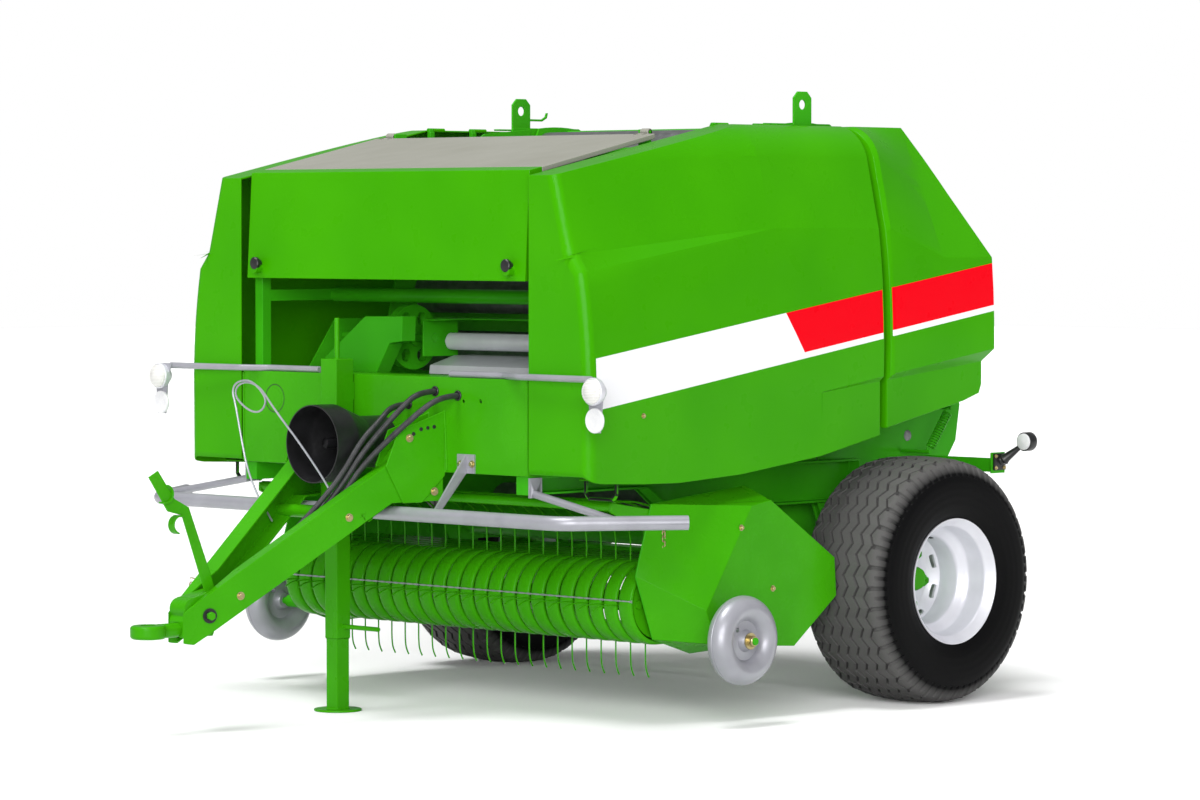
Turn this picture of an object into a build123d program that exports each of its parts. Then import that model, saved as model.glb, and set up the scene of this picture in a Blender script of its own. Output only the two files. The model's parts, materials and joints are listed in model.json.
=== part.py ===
from build123d import *
from math import atan2, cos, degrees, hypot, pi, radians, sin, tan
import os

# Fixed-chamber round baler, parked on its jack with the pickup raised.
# Millimetres, +Z up. The drawbar points to -Y and the tailgate to +Y.
# Lengths below are measured from the wheel axle: y = 0 there, z = 0 on the ground.
# Every piece is written with the machine's middle moved to y = 0.

# Overall layout
EYE_Y = -2624.0          # centre of the towing eye
EYE_R = 59.0             # outside radius of the towing eye
HEAD_Y = EYE_Y + 157.0   # clevis head that holds the eye
REAR_Y = 712.0           # rearmost edge of the tailgate's side plates
BODY_SHIFT = -(EYE_Y - EYE_R + REAR_Y) / 2
FRONT_Y = -1597.0        # front face of the front beam

# Road wheels
TYRE_R = 430.0
TYRE_HALF = 190.0
WHEEL_X = 1032.0
RIM_R = 220.0
RIM_SEAT_R = 197.0
RIM_HALF = 176.0
SHEET_RIM = 6.0
WELL_R = 159.0           # bottom of the rim's drop well
DISC_OFFSET = -62.0      # outer face of the dish, from the tyre's middle
DISC_RISE = 34.0         # the dish's edge stands this far outside its middle
STUDS = 6
STUD_R = 8.0
STUD_RING_R = 102.0      # radius of the ring of studs
STUD_TURN = 52.0         # degrees of the first stud above the rear
SLOTS = 8
SLOT_RING_R = 138.0      # hand slots in the dish
STUB_R = 30.0
HUB_FIT = 0.05
HUB_R = 62.0
HUB_FLANGE_R = 116.0
HUB_BACK = 85.0          # behind the dish
HUB_NOSE = 70.0          # in front of the dish
AXLE_TUBE = 90.0

# Bale chamber
BALE_WIDTH = 1220.0
WALL = 8.0
CHAMBER_Y = -150.0
CHAMBER_Z = 1262.0
ROLLER_R = 74.0
ROLLER_PITCH_R = 675.0
ROLLER_STEP = 18.0
ROLLER_GAP = 6.0
GUDGEON_R = 20.0
WALL_IN = BALE_WIDTH / 2
WALL_OUT = WALL_IN + WALL

# Chassis
RAIL_X = 655.0
RAIL_W = 56.0
RAIL_Z0 = 690.0
RAIL_END = 62.0
BEAM_HALF = 716.0
BEAM_Z0 = 837.0
BEAM_Z1 = 1157.0
BEAM_DEPTH = 190.0
BEAM_SHEET = 8.0
RAIL_STEP_Z = 775.0
POST = 40.0
POST_X = BEAM_HALF - POST / 2 - 6
RAIL_TOP_Z = 1935.0
POST_Y = -1546.0

# Tailgate
HINGE_Y = -330.0
HINGE_Z = 1985.0
HINGE_PIN_R = 20.0
TAIL_PLATE = 8.0
TAIL_R = 767.0
TAIL_IN = WALL_IN
TAIL_OUT = TAIL_IN + TAIL_PLATE
ARM_GAP = 8.0
CYL_X = 664.0
CYL_BASE = (-500.0, 1400.0)
CYL_EYE = (-20.0, 1850.0)
CYL_R = 26.0
ROD_R = 14.0
PIN_R = 12.0
PIN_FIT = 0.05
ROD_PIN_GAP = 0.5        # between the rod's pin and the tailgate's arm, which it slides past

# Lifting lugs
LUG_Y = -245.0
LUG_Z = 2088.0
LUG_HALF = 46.0
LUG_TOP = 2134.0
LUG_CHAMFER = 22.0
LUG_HOLE_R = 17.0

# Covers
COVER_HINGES = (-690.0, -480.0)
COVER_IN = BEAM_HALF + 8
COVER_T = 6.0
COVER_FRONT = -1600.0
COVER_TOP = 2012.0
COVER_CREST = -705.0     # where the top starts to fall to the front
COVER_HINGE_X = BEAM_HALF - 4
COVER_HINGE_R = 5.0
KNUCKLE_R = 7.0
SPLIT = -150.0           # rear edge of the front cover
SPLIT_GAP = 36.0
CORNER_R = 38.0
LIP_R = 26.0
LIP = 60.0               # width of the rear cover's inturned front lip
TAPER_END = 182.0        # behind this the rear cover keeps one section
COVER_REAR = 443.0

# Front flap
FLAP_HALF = 700.0
FLAP_T = 18.0
FLAP_HINGE_X = 610.0
FLAP_PIN_R = 6.0
FLAP_KNUCKLE_R = 12.0
RUN = 2.0                # gap beside a hinge's knuckle
FLAP_HINGE = (-958.0, 1984.0)
FLAP_CREST = (-1571.0, 1850.0)
FLAP_FOOT = (-1592.0, 1482.0)

# Pickup
FEEDER = (-590.0, 600.0)
PIVOT_PIN_R = 20.0
PIVOT = (-520.0, 420.0)
REEL = (-1130.0, 400.0)
BAND_R = 140.0
BAND_T = 3.0
BAND_END = 262.0         # the bands' lower ends, behind the reel's middle
BAND_W = 54.0
TINE_PITCH = 70.0
TINE_COUNT = 24
TINE_TIP_R = 255.0
TINE_T = 5.0
TINE_BAR_R = 15.0
TINE_BAR_AT = 96.0
REEL_TUBE_R = 34.0
PICKUP_IN = 890.0
PICKUP_WALL = 6.0
SHIELD_X1 = 1050.0
SHIELD_REAR = -TYRE_R - 13
GAUGE = (-1040.0, 289.0)
GAUGE_R = 150.0
GAUGE_X0 = 1122.0
GAUGE_X1 = 1214.0
GAUGE_PIN_R = 12.5
GAUGE_WEB = 10.0         # half thickness of the gauge wheel's dished middle

# Drawbar
DRAW_REAR_X = 320.0
DRAW_REACH = FRONT_Y - EYE_Y - 102
DRAW_SLOPE = 0.30
DRAW_T = 8.0
DRAW_FLANGE = 62.0
EYE_Z = 343.0
EYE_BORE_R = 25.0
EYE_THICK = 45.0
HEAD_R = 36.0

HEAD_HALF = 38.0
EYE_SHANK_R = 24.0
STRIP_X = 20.0           # drive-shaft holder strip on the head
STRIP_T = 6.0
DRAW_TIE_X = 228.0
DRAW_TIE_Y = -1860.0
DRAW_TIE_Z = 700.0

# Jack
JACK_X = -172.0
JACK_Y = -1642.0
JACK_OUTER = 80.0
JACK_INNER = 62.0
JACK_TOP = 1210.0
JACK_LOW = 690.0
JACK_WALL = 6.0
JACK_TRAVEL = 300.0
FOOT_R = 82.0
FOOT_T = 8.0

# Power take-off
PTO_Z = 932.0
PTO_R = 17.5
CONE_R = 132.0
CONE_NECK_R = 88.0
CONE_Y0 = -1910.0
CONE_Y1 = -1672.0

# Guard bar and lamps
BUMPER_R = 24.0
BUMPER_Z = 702.0
BUMPER_Y = -1745.0
BUMPER_BEND = 1010.0
BUMPER_END = (1262.0, -1400.0)
LAMP = (1092.0, -1668.0, 1130.0)
REFLECTOR_Z = 1036.0
LAMP_R = 45.0
REAR_LAMP = (1030.0, 600.0, 890.0)
LAMP_ARM_R = 11.0
STRUT_X = 426.0
GEAR_SHAFT = (-1400.0, 1010.0)
PULLEY_AXIS = (-1210.0, 1275.0)
FEED_AXIS = (-1150.0, 1262.0)
BINDER_X = -150.0
HOSE_R = 10.0
HOSE_STEP = 34.0
WIND_GUARD = (-1360.0, 735.0)


def save(name, shape):
    os.makedirs("parts", exist_ok=True)
    export_step(Pos(0, BODY_SHIFT, 0) * shape, "parts/" + name + ".step")
    print(name, round(shape.volume / 1e6, 3), "litres")


def block(x0, x1, y0, y1, z0, z1):
    centre = Pos((x0 + x1) / 2, (y0 + y1) / 2, (z0 + z1) / 2)
    return centre * Box(abs(x1 - x0), abs(y1 - y0), abs(z1 - z0))


def side_plate(points, x0, x1):
    """A plate with a (y, z) outline between two x values."""
    face = Plane.YZ.offset(x0) * make_face(Polyline(*points, close=True))
    return extrude(face, amount=x1 - x0)


def front_plate(points, y0, y1):
    """A plate with an (x, z) outline between two y values."""
    flat = [(x, y0, z) for x, z in points]
    return extrude(make_face(Polyline(*flat, close=True)), amount=y1 - y0, dir=(0, 1, 0))


def rod(start, end, radius):
    """A round bar between two points."""
    a = Vector(*start)
    b = Vector(*end)
    return Plane(origin=a, z_dir=b - a) * Cylinder(
        radius, (b - a).length, align=(Align.CENTER, Align.CENTER, Align.MIN))


def cross_rod(x0, x1, y, z, radius):
    return rod((x0, y, z), (x1, y, z), radius)


def mirrored(shape):
    return mirror(shape, about=Plane.YZ)


def both(name, shape):
    """The image-right piece and its mirror image."""
    save(name + "_right", shape)
    save(name + "_left", mirrored(shape))


def round_tube(points, radius, bend):
    """A bent round bar along points, with arcs of one radius."""
    path = FilletPolyline(*points, radius=bend)
    return sweep(Plane(origin=path @ 0, z_dir=path % 0) * Circle(radius), path)


def ring_place(angle):
    """The (y, z) of a chamber roller, turned up from the rear."""
    a = radians(angle)
    return CHAMBER_Y + ROLLER_PITCH_R * cos(a), CHAMBER_Z + ROLLER_PITCH_R * sin(a)


def rollers(angles):
    """Ribbed press rollers on gudgeons, joined by their end carriers."""
    out = []
    for angle in angles:
        y, z = ring_place(angle)
        half = WALL_IN - ROLLER_GAP
        drum = cross_rod(-half, half, y, z, ROLLER_R)
        for side in (-1, 1):
            drum += cross_rod(side * half, side * WALL_OUT, y, z, GUDGEON_R)
        out.append(drum)
    return Compound(out)


def gudgeon_holes(shape, angles):
    for angle in angles:
        y, z = ring_place(angle)
        shape -= cross_rod(WALL_IN - 5, WALL_OUT + 5, y, z, GUDGEON_R + HUB_FIT)
    return shape


FRONT_ANGLES = [112 + ROLLER_STEP * i for i in range(6)]
BASE_ANGLES = [246, 264]
TAIL_ANGLES = [94 - ROLLER_STEP * i for i in range(10)]


# Wheels
def wheel_point(shape):
    return Pos(WHEEL_X, 0, TYRE_R) * shape


def tyre():
    """A tyre on the X axis: bead, bulged wall, sloped shoulder and crowned tread."""
    bead = RIM_HALF - SHEET_RIM
    foot = (bead, RIM_SEAT_R + 1)
    lip = (bead, RIM_R + 4)
    bulge = (TYRE_HALF, (RIM_R + TYRE_R) / 2)
    shoulder = (TYRE_HALF - 26, TYRE_R - 48)
    tread = (TYRE_HALF - 44, TYRE_R - 14)

    def far(point):
        return -point[0], point[1]

    outline = make_face([
        Line(foot, lip),
        ThreePointArc(lip, bulge, shoulder),
        Line(shoulder, tread),
        ThreePointArc(tread, (0, TYRE_R), far(tread)),
        Line(far(tread), far(shoulder)),
        ThreePointArc(far(shoulder), far(bulge), far(lip)),
        Line(far(lip), far(foot)),
        Line(far(foot), foot),
    ])
    return revolve(outline, Axis.X)


def rim():
    """Rolled barrel with a pressed dish, slotted at its edge and drilled for the studs."""
    t = SHEET_RIM
    h = RIM_HALF
    barrel = make_face(Polyline(
        (-h, RIM_R), (-h + t, RIM_R), (-h + t, RIM_SEAT_R), (-70, RIM_SEAT_R), (-50, WELL_R), (50, WELL_R),
        (70, RIM_SEAT_R), (h - t, RIM_SEAT_R), (h - t, RIM_R), (h, RIM_R), (h, RIM_SEAT_R - t),
        (70 + t, RIM_SEAT_R - t), (50 + t, WELL_R - t), (-50 - t, WELL_R - t), (-70 - t, RIM_SEAT_R - t),
        (-h, RIM_SEAT_R - t), close=True))
    front = DISC_OFFSET
    back = DISC_OFFSET - 10
    edge = WELL_R - t + 1
    disc = make_face(Polyline(
        (back, HUB_R - 4), (front, HUB_R - 4), (front, HUB_FLANGE_R), (front + DISC_RISE, edge),
        (back + DISC_RISE, edge), (back, HUB_FLANGE_R + 4), close=True))
    shape = revolve(barrel, Axis.X) + revolve(disc, Axis.X)
    for i in range(SLOTS):
        slot = Pos(0, 0, SLOT_RING_R) * Rot(0, 90, 0) * extrude(SlotOverall(52, 13, rotation=90), amount=40, both=True)
        slot = Pos(DISC_OFFSET + DISC_RISE / 2, 0, 0) * slot
        shape -= Rot(360 / SLOTS * (i + 0.5), 0, 0) * slot
    for y, z in stud_places():
        shape -= cross_rod(DISC_OFFSET - 30, DISC_OFFSET + 30, y, z, STUD_R + 0.5)
    return shape


def stud_places():
    """The (y, z) of each wheel stud about the axle."""
    turns = [radians(STUD_TURN + 360 * i / STUDS) for i in range(STUDS)]
    return [(STUD_RING_R * cos(a), STUD_RING_R * sin(a)) for a in turns]


def hub():
    """Bearing hub with its flange behind the dish, a cap, and the wheel studs."""
    d = DISC_OFFSET
    nose = d + HUB_NOSE
    outline = make_face(Polyline(
        (d - HUB_BACK, STUB_R + HUB_FIT), (d - HUB_BACK, 46), (d - 24, 46), (d - 22, HUB_FLANGE_R),
        (d - 10.3, HUB_FLANGE_R), (d - 10.3, HUB_R - 5), (d + 4, HUB_R - 5), (d + 10, 46), (nose - 14, 42),
        (nose, 36), (nose, 0), (nose - 8, 0), (nose - 8, STUB_R + HUB_FIT), close=True))
    shape = revolve(outline, Axis.X)
    for y, z in stud_places():
        shape += cross_rod(d - 14, d + 22, y, z, STUD_R)
    return shape


def build_wheels():
    both("tyre", wheel_point(tyre()))
    both("rim", wheel_point(rim()))
    both("hub", wheel_point(hub()))


# Axle
def build_axle():
    half = AXLE_TUBE / 2
    inner = RAIL_X + RAIL_W
    beam = block(-inner - 30, inner + 30, -half, half, TYRE_R - half, TYRE_R + half)
    for side in (-1, 1):
        end = side * (inner + 30)
        beam += rod((end, 0, TYRE_R), (side * (WHEEL_X + DISC_OFFSET - HUB_BACK), 0, TYRE_R), 40)
        beam += rod((end, 0, TYRE_R), (side * (WHEEL_X + DISC_OFFSET + HUB_NOSE - 10), 0, TYRE_R), STUB_R)
        bracket = [(-150, RAIL_Z0), (RAIL_END, RAIL_Z0), (half, TYRE_R + half), (-half - 20, TYRE_R + half)]
        for x in (RAIL_X + 8, RAIL_X + 36):
            beam += side_plate(bracket, side * x, side * (x + 12))
    save("axle_beam", beam)


# Chassis
def drawbar_plane(inset):
    """Upright plane of the image-right drawbar beam, with x along the beam towards the eye."""
    run = hypot(1, DRAW_SLOPE)
    along = Vector(-DRAW_SLOPE / run, -1 / run, 0)
    inward = Vector(-1 / run, DRAW_SLOPE / run, 0)
    start = Vector(DRAW_REAR_X, FRONT_Y, 0) + inward * inset
    return Plane(origin=start, x_dir=along, z_dir=inward)


def drawbar_plate(points, inset, thick):
    """A plate along the beam. points are (distance in front of the beam, z)."""
    run = hypot(1, DRAW_SLOPE)
    flat = [(d * run, z) for d, z in points]
    return extrude(drawbar_plane(inset) * make_face(Polyline(*flat, close=True)), amount=thick)


CHEEK = [(-20, 1052), (0, 1045), (167, 980), (212, 862), (150, 737), (82, 738), (0, 826), (-20, 826)]
DRAW_SIDE = [
    (3, 975), (140, 945), (209, 862), (DRAW_REACH - 50, 426), (DRAW_REACH, 392), (DRAW_REACH, 300),
    (DRAW_REACH - 50, 294), (DRAW_REACH - 114, 333), (185, 738), (3, 742),
]
BEAM_HOLES = [  # x, z, radius
    (140, 1062, HOSE_R), (272, 1109, HOSE_R), (383, 1097, HOSE_R), (-547, 1063, 34), (408, 1078, 6),
    (491, 1079, 6),
]


def build_front_beam():
    depth = FRONT_Y + BEAM_DEPTH
    t = BEAM_SHEET
    beam = block(-BEAM_HALF, BEAM_HALF, FRONT_Y, FRONT_Y + t, BEAM_Z0, BEAM_Z1)
    beam += block(-BEAM_HALF, BEAM_HALF, FRONT_Y, depth, BEAM_Z1 - t, BEAM_Z1)
    beam += block(-BEAM_HALF, BEAM_HALF, FRONT_Y, depth, BEAM_Z0, BEAM_Z0 + t)
    for x in (-BEAM_HALF, -240, 240 - t, BEAM_HALF - t):
        beam += block(x, x + t, FRONT_Y, depth, BEAM_Z0, BEAM_Z1)
    for x, z, r in BEAM_HOLES:
        beam -= rod((x, FRONT_Y - 5, z), (x, FRONT_Y + t + 5, z), r)
    beam -= rod((0, FRONT_Y - 5, PTO_Z), (0, FRONT_Y + t + 5, PTO_Z), CONE_NECK_R - 25)
    beam -= cross_rod(200, BEAM_HALF + 5, GEAR_SHAFT[0], GEAR_SHAFT[1], 32)
    behind = block(-BEAM_HALF, BEAM_HALF, FRONT_Y, depth, BEAM_Z0 - 150, BEAM_Z1)
    cheek = drawbar_plate(CHEEK, 0, DRAW_T) - behind
    cheek += drawbar_plate(CHEEK, 2 * DRAW_T + DRAW_FLANGE, DRAW_T) - behind
    h = JACK_OUTER / 2 + 6
    jack_room = block(JACK_X - h, JACK_X + h, JACK_Y - 160, FRONT_Y + 20, JACK_LOW, JACK_TOP)
    save("front_beam", beam + cheek + (mirrored(cheek) - jack_room))


def drawbar():
    outer = drawbar_plate(DRAW_SIDE, DRAW_T, DRAW_FLANGE)
    face = make_face(Polyline(*[(d * hypot(1, DRAW_SLOPE), z) for d, z in DRAW_SIDE], close=True))
    inside = offset(face, amount=-DRAW_T, kind=Kind.INTERSECTION)
    pocket = extrude(drawbar_plane(2 * DRAW_T) * inside, amount=DRAW_FLANGE)
    beam = outer - pocket
    beam -= block(-HEAD_HALF, HEAD_HALF, -3000, FRONT_Y, 0, 1200)
    beam -= block(-BEAM_HALF, 0, -3000, FRONT_Y, 0, 1200)
    beam -= block(0, BEAM_HALF, FRONT_Y, FRONT_Y + 100, 0, 1200)
    return beam + mirrored(beam) + cross_rod(-DRAW_TIE_X, DRAW_TIE_X, DRAW_TIE_Y, DRAW_TIE_Z, 22)


def build_drawbar():
    save("drawbar", drawbar())
    body = [(-33, 318), (-38, 372), (-3, 446), (107, 470), (137, 420), (87, 318)]
    strip = [(115, 455), (67, 455), (-33, 720), (-93, 735), (-173, 850), (-133, 870), (-63, 775), (-3, 745)]
    head = cross_rod(-HEAD_HALF, HEAD_HALF, HEAD_Y, 410, HEAD_R)
    head += side_plate([(HEAD_Y + y, z) for y, z in body], -HEAD_HALF, HEAD_HALF)
    head += side_plate([(HEAD_Y + y, z) for y, z in strip], STRIP_X, STRIP_X + STRIP_T)
    head -= rod((0, HEAD_Y - 43, EYE_Z), (0, HEAD_Y + 67, EYE_Z), EYE_SHANK_R + PIN_FIT)
    save("hitch_head", head)

    eye = Pos(0, EYE_Y, EYE_Z) * Cylinder(EYE_R, EYE_THICK)
    eye = fillet(eye.edges(), 12)
    eye += rod((0, EYE_Y + EYE_R - 15, EYE_Z), (0, HEAD_Y + 62, EYE_Z), EYE_SHANK_R)
    eye -= Pos(0, EYE_Y, EYE_Z) * Cylinder(EYE_BORE_R, EYE_THICK + 10)
    save("towing_eye", eye)


def build_frame():
    rail_points = [(FRONT_Y + BEAM_SHEET, BEAM_Z0), (RAIL_END, BEAM_Z0), (RAIL_END, RAIL_Z0), (-900, RAIL_Z0),
                   (-1020, RAIL_STEP_Z), (FRONT_Y + BEAM_SHEET, RAIL_STEP_Z)]
    rail = side_plate(rail_points, RAIL_X, RAIL_X + RAIL_W)
    face = make_face(Polyline(*rail_points, close=True))
    inside = offset(face, amount=-7, kind=Kind.INTERSECTION)
    rail -= extrude(Plane.YZ.offset(RAIL_X + 6) * inside, amount=RAIL_W)
    for y in (-1340, -1060, -420, -140):
        rail += block(WALL_OUT, RAIL_X, y, y + 60, RAIL_STEP_Z + 10, BEAM_Z0 - 10)
    y, z = PIVOT
    bracket = [(y - 110, RAIL_Z0 + 1), (y + 70, RAIL_Z0 + 1), (y + 34, z - 34), (y - 34, z - 34)]
    rail += side_plate(bracket, RAIL_X + RAIL_W - 10, RAIL_X + RAIL_W)
    rail += cross_rod(RAIL_X + RAIL_W - 10, PICKUP_IN + 16, y, z, PIVOT_PIN_R)

    wall_points = [
        (FRONT_Y + BEAM_DEPTH + 2, 785), (-1010, 785), (-900, 700), (-740, 660), (-700, 520), (-480, 520),
        (-300, 510), (-72, 496), (-72, 960), (-100, 1250), (-100, 1660), (-190, 1860),
        (-290, 1935), (-290, 2018), (-520, 2000), (-700, 1900), (-840, 1740), (-940, 1560), (-1000, 1335),
        (-1255, 1335), (FRONT_Y + BEAM_DEPTH + 2, 1130),
    ]
    wall = side_plate(wall_points, WALL_IN, WALL_OUT)
    wall = gudgeon_holes(wall, FRONT_ANGLES + BASE_ANGLES)
    wall -= cross_rod(WALL_IN - 5, WALL_OUT + 5, FEEDER[0], FEEDER[1], GUDGEON_R + HUB_FIT)
    for y, z, r in (PULLEY_AXIS + (15,), FEED_AXIS + (12,)):
        wall -= cross_rod(WALL_IN - 5, WALL_OUT + 5, y, z, r + HUB_FIT)
    wall += cross_rod(WALL_IN, WALL_OUT + ARM_GAP + 20, HINGE_Y, HINGE_Z, HINGE_PIN_R)
    wall += cross_rod(WALL_OUT - 2, CYL_X + 26, CYL_BASE[0], CYL_BASE[1], PIN_R)
    both("side_frame", rail + wall)
    save("front_rollers", rollers(FRONT_ANGLES + BASE_ANGLES))

    half = WALL_IN - ROLLER_GAP
    feeder = cross_rod(-half, half, FEEDER[0], FEEDER[1], 60)
    for side in (-1, 1):
        feeder += cross_rod(side * half, side * WALL_OUT, FEEDER[0], FEEDER[1], GUDGEON_R)
    save("feed_rotor", feeder)

    a = POST_X - POST / 2
    b = POST_X + POST / 2
    crest_z = 1795.0
    frame = block(a, b, POST_Y, POST_Y + POST, BEAM_Z1, crest_z - 20)
    frame += side_plate([
        (POST_Y, crest_z), (POST_Y, crest_z - 45), (-985, RAIL_TOP_Z - 45), (HINGE_Y, RAIL_TOP_Z - 45),
        (HINGE_Y, RAIL_TOP_Z), (-985, RAIL_TOP_Z)], a, b)
    for y in (-880, -480):
        frame += block(WALL_OUT, a, y, y + 40, RAIL_TOP_Z - 40, RAIL_TOP_Z - 5)
    frame += side_plate([(-460, RAIL_TOP_Z - 40), (-205, RAIL_TOP_Z - 5), (-205, 2000), (-290, 2020),
                         (-330, RAIL_TOP_Z + 5), (-460, RAIL_TOP_Z + 5)], b - 8, b)
    frame += lifting_lug(b)
    for y in COVER_HINGES:
        frame += block(b - 12, COVER_HINGE_X + 3, y - 22, y, RAIL_TOP_Z - 10, COVER_TOP - KNUCKLE_R)
        frame += rod((COVER_HINGE_X, y - 22, COVER_TOP), (COVER_HINGE_X, y, COVER_TOP), KNUCKLE_R)
        frame += block(b - 8, COVER_HINGE_X + 3, y - 22, y, COVER_TOP - KNUCKLE_R, COVER_TOP)
        frame += rod((COVER_HINGE_X, y, COVER_TOP), (COVER_HINGE_X, y + 60, COVER_TOP), COVER_HINGE_R)
    y, z = FLAP_HINGE
    frame += block(FLAP_HINGE_X, FLAP_HINGE_X + 8, y - 9, y + 48, RAIL_TOP_Z - 30, z + 9)
    frame += cross_rod(FLAP_HINGE_X, FLAP_HINGE_X + 50, y, z, FLAP_PIN_R)
    frame += block(a, a + 6, POST_Y + POST, -1180, 1400, 1440)
    frame += mirrored(frame)
    frame += side_plate([(LUG_Y + LUG_HALF - 2, 2052), (-136, 2052), (-112, 2064), (-106, 2084), (-114, 2084),
                         (-120, 2070), (-138, 2060), (LUG_Y + LUG_HALF - 2, 2060)], -b, -b + 8)
    frame += cross_rod(-a, a, -930, RAIL_TOP_Z - 22, 20)
    frame += cross_rod(-a, a, -1200, 1420, 25)
    save("top_frame", frame)


def lifting_lug(outside):
    """A drilled plate with cut corners whose foot strip lies on the side cover's edge."""
    front = LUG_Y - LUG_HALF
    rear = LUG_Y + LUG_HALF
    cut = LUG_CHAMFER
    foot = RAIL_TOP_Z + 50
    lug = side_plate([(front, foot), (rear, foot), (rear, LUG_TOP - cut), (rear - cut, LUG_TOP),
                      (front + cut, LUG_TOP), (front, LUG_TOP - cut)], outside - 8, outside)
    lug += block(outside - 26, outside, front - 90, front + 4, COVER_TOP + 2, COVER_TOP + 8)
    return lug - cross_rod(outside - 12, outside + 4, LUG_Y, LUG_Z, LUG_HOLE_R)


def build_jack():
    h = JACK_OUTER / 2
    tube = block(JACK_X - h, JACK_X + h, JACK_Y - h, JACK_Y + h, JACK_LOW, JACK_TOP)
    g = h - JACK_WALL
    tube -= block(JACK_X - g, JACK_X + g, JACK_Y - g, JACK_Y + g, JACK_LOW + 30, JACK_TOP - 12)
    k = JACK_INNER / 2 + PIN_FIT
    tube -= block(JACK_X - k, JACK_X + k, JACK_Y - k, JACK_Y + k, JACK_LOW - 5, JACK_LOW + 40)
    for z in (900, 1100):
        tube += block(JACK_X - h, JACK_X + h, JACK_Y + h, FRONT_Y, z - 30, z + 30)
    tube += rod((JACK_X, JACK_Y, JACK_TOP), (JACK_X, JACK_Y, JACK_TOP + 140), 9)
    save("jack_tube", tube)

    k = JACK_INNER / 2
    top = JACK_TOP - 12 - JACK_TRAVEL - 30
    g -= PIN_FIT
    leg = block(JACK_X - k, JACK_X + k, JACK_Y - k, JACK_Y + k, 250, top)
    leg += block(JACK_X - g, JACK_X + g, JACK_Y - g, JACK_Y + g, top - 24, top)
    leg += block(JACK_X - k + 3, JACK_X + k - 3, JACK_Y - k + 3, JACK_Y + k - 3, FOOT_T, 260)
    leg += rod((JACK_X, JACK_Y, 0), (JACK_X, JACK_Y, FOOT_T), FOOT_R)
    leg += cross_rod(JACK_X - k - 20, JACK_X + 210, JACK_Y, 292, 8)
    save("jack_leg", leg)


def build_pto():
    cone = make_face(Polyline(
        (CONE_R, CONE_Y0), (CONE_R, CONE_Y0 + 90), (CONE_NECK_R, CONE_Y1 - 30), (CONE_NECK_R, FRONT_Y),
        (CONE_NECK_R - 30, FRONT_Y), (CONE_NECK_R - 30, FRONT_Y - 4), (CONE_NECK_R - 4, FRONT_Y - 4),
        (CONE_NECK_R - 4, CONE_Y1 - 31), (CONE_R - 4, CONE_Y0 + 88), (CONE_R - 4, CONE_Y0), close=True))
    save("pto_guard", Pos(0, 0, PTO_Z) * revolve(cone, Axis.Y))
    shaft = rod((0, -1850, PTO_Z), (0, FRONT_Y + 60, PTO_Z), PTO_R)
    shaft += rod((0, -1700, PTO_Z), (0, FRONT_Y + 60, PTO_Z), PTO_R + 8)
    save("pto_shaft", shaft)
    box_y = FRONT_Y + 60
    gear = block(-120, 120, box_y, box_y + 230, BEAM_Z0 + BEAM_SHEET, BEAM_Z1 - BEAM_SHEET - 20)
    gear = fillet(gear.edges(), 18)
    gear += cross_rod(115, WALL_IN, GEAR_SHAFT[0], GEAR_SHAFT[1], 26)
    save("gearbox", gear)


# Guard bar, lamps and small front pieces
def build_guard_bar():
    end_x, end_y = BUMPER_END
    path = [(-end_x, end_y, BUMPER_Z), (-BUMPER_BEND, BUMPER_Y, BUMPER_Z), (BUMPER_BEND, BUMPER_Y, BUMPER_Z),
            (end_x, end_y, BUMPER_Z)]
    bar = round_tube(path, BUMPER_R, 120)
    for side in (-1, 1):
        x = side * STRUT_X
        strut = [(FRONT_Y - 6, 900), (FRONT_Y - 6, 838), (BUMPER_Y, BUMPER_Z - 14), (BUMPER_Y, BUMPER_Z + 22)]
        bar += side_plate(strut, x - 4, x + 4)
        bar += block(x - 42, x + 42, FRONT_Y - 6, FRONT_Y, 838, 902)
        bar += rod((side * (RAIL_X + RAIL_W + 4), -1560, 778), (side * 1130, -1590, BUMPER_Z + 6), 13)
        bar += block(side * (RAIL_X + RAIL_W), side * (RAIL_X + RAIL_W + 6), -1588, -1530, 766, 832)
    save("guard_bar", bar)


def build_front_lamps():
    x, y, z = LAMP
    arm_z = BEAM_Z1 + LAMP_ARM_R
    route = [(330, -1580, arm_z), (590, -1580, arm_z), (700, -1624, arm_z), (x - 34, y + 26, arm_z)]
    arm = round_tube(route, LAMP_ARM_R, 60)
    arm += front_plate([(x - 55, arm_z + 8), (x - 5, arm_z + 8), (x + 34, z - 10), (x + 22, REFLECTOR_Z - 40),
                        (x - 22, REFLECTOR_Z - 40), (x - 34, z - 10)], y + 12, y + 16)
    save("front_lamp_arms", Compound([arm, mirrored(arm)]))
    lamp = rod((x, y - 22, z), (x, y + 12, z), LAMP_R)
    lamp += rod((x, y + 16, z), (x, y + 40, z), LAMP_R - 19)
    reflector = rod((x, y + 4, REFLECTOR_Z), (x, y + 12, REFLECTOR_Z), LAMP_R - 4)
    lamps = [lamp, reflector, mirrored(lamp), mirrored(reflector)]
    save("front_lamps", Compound([solid for lamp in lamps for solid in lamp.solids()]))


def build_hose_guide():
    y = CONE_Y0 - 15
    loop = round_tube([(-222, y, 702), (-300, y, 775), (-372, y, 1000), (-402, y, 1088), (-325, y, 1136),
                       (-246, y, 1086), (104, y, 760), (104, DRAW_TIE_Y, DRAW_TIE_Z)], 4.5, 22)
    save("hose_guide", loop - drawbar())


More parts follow.
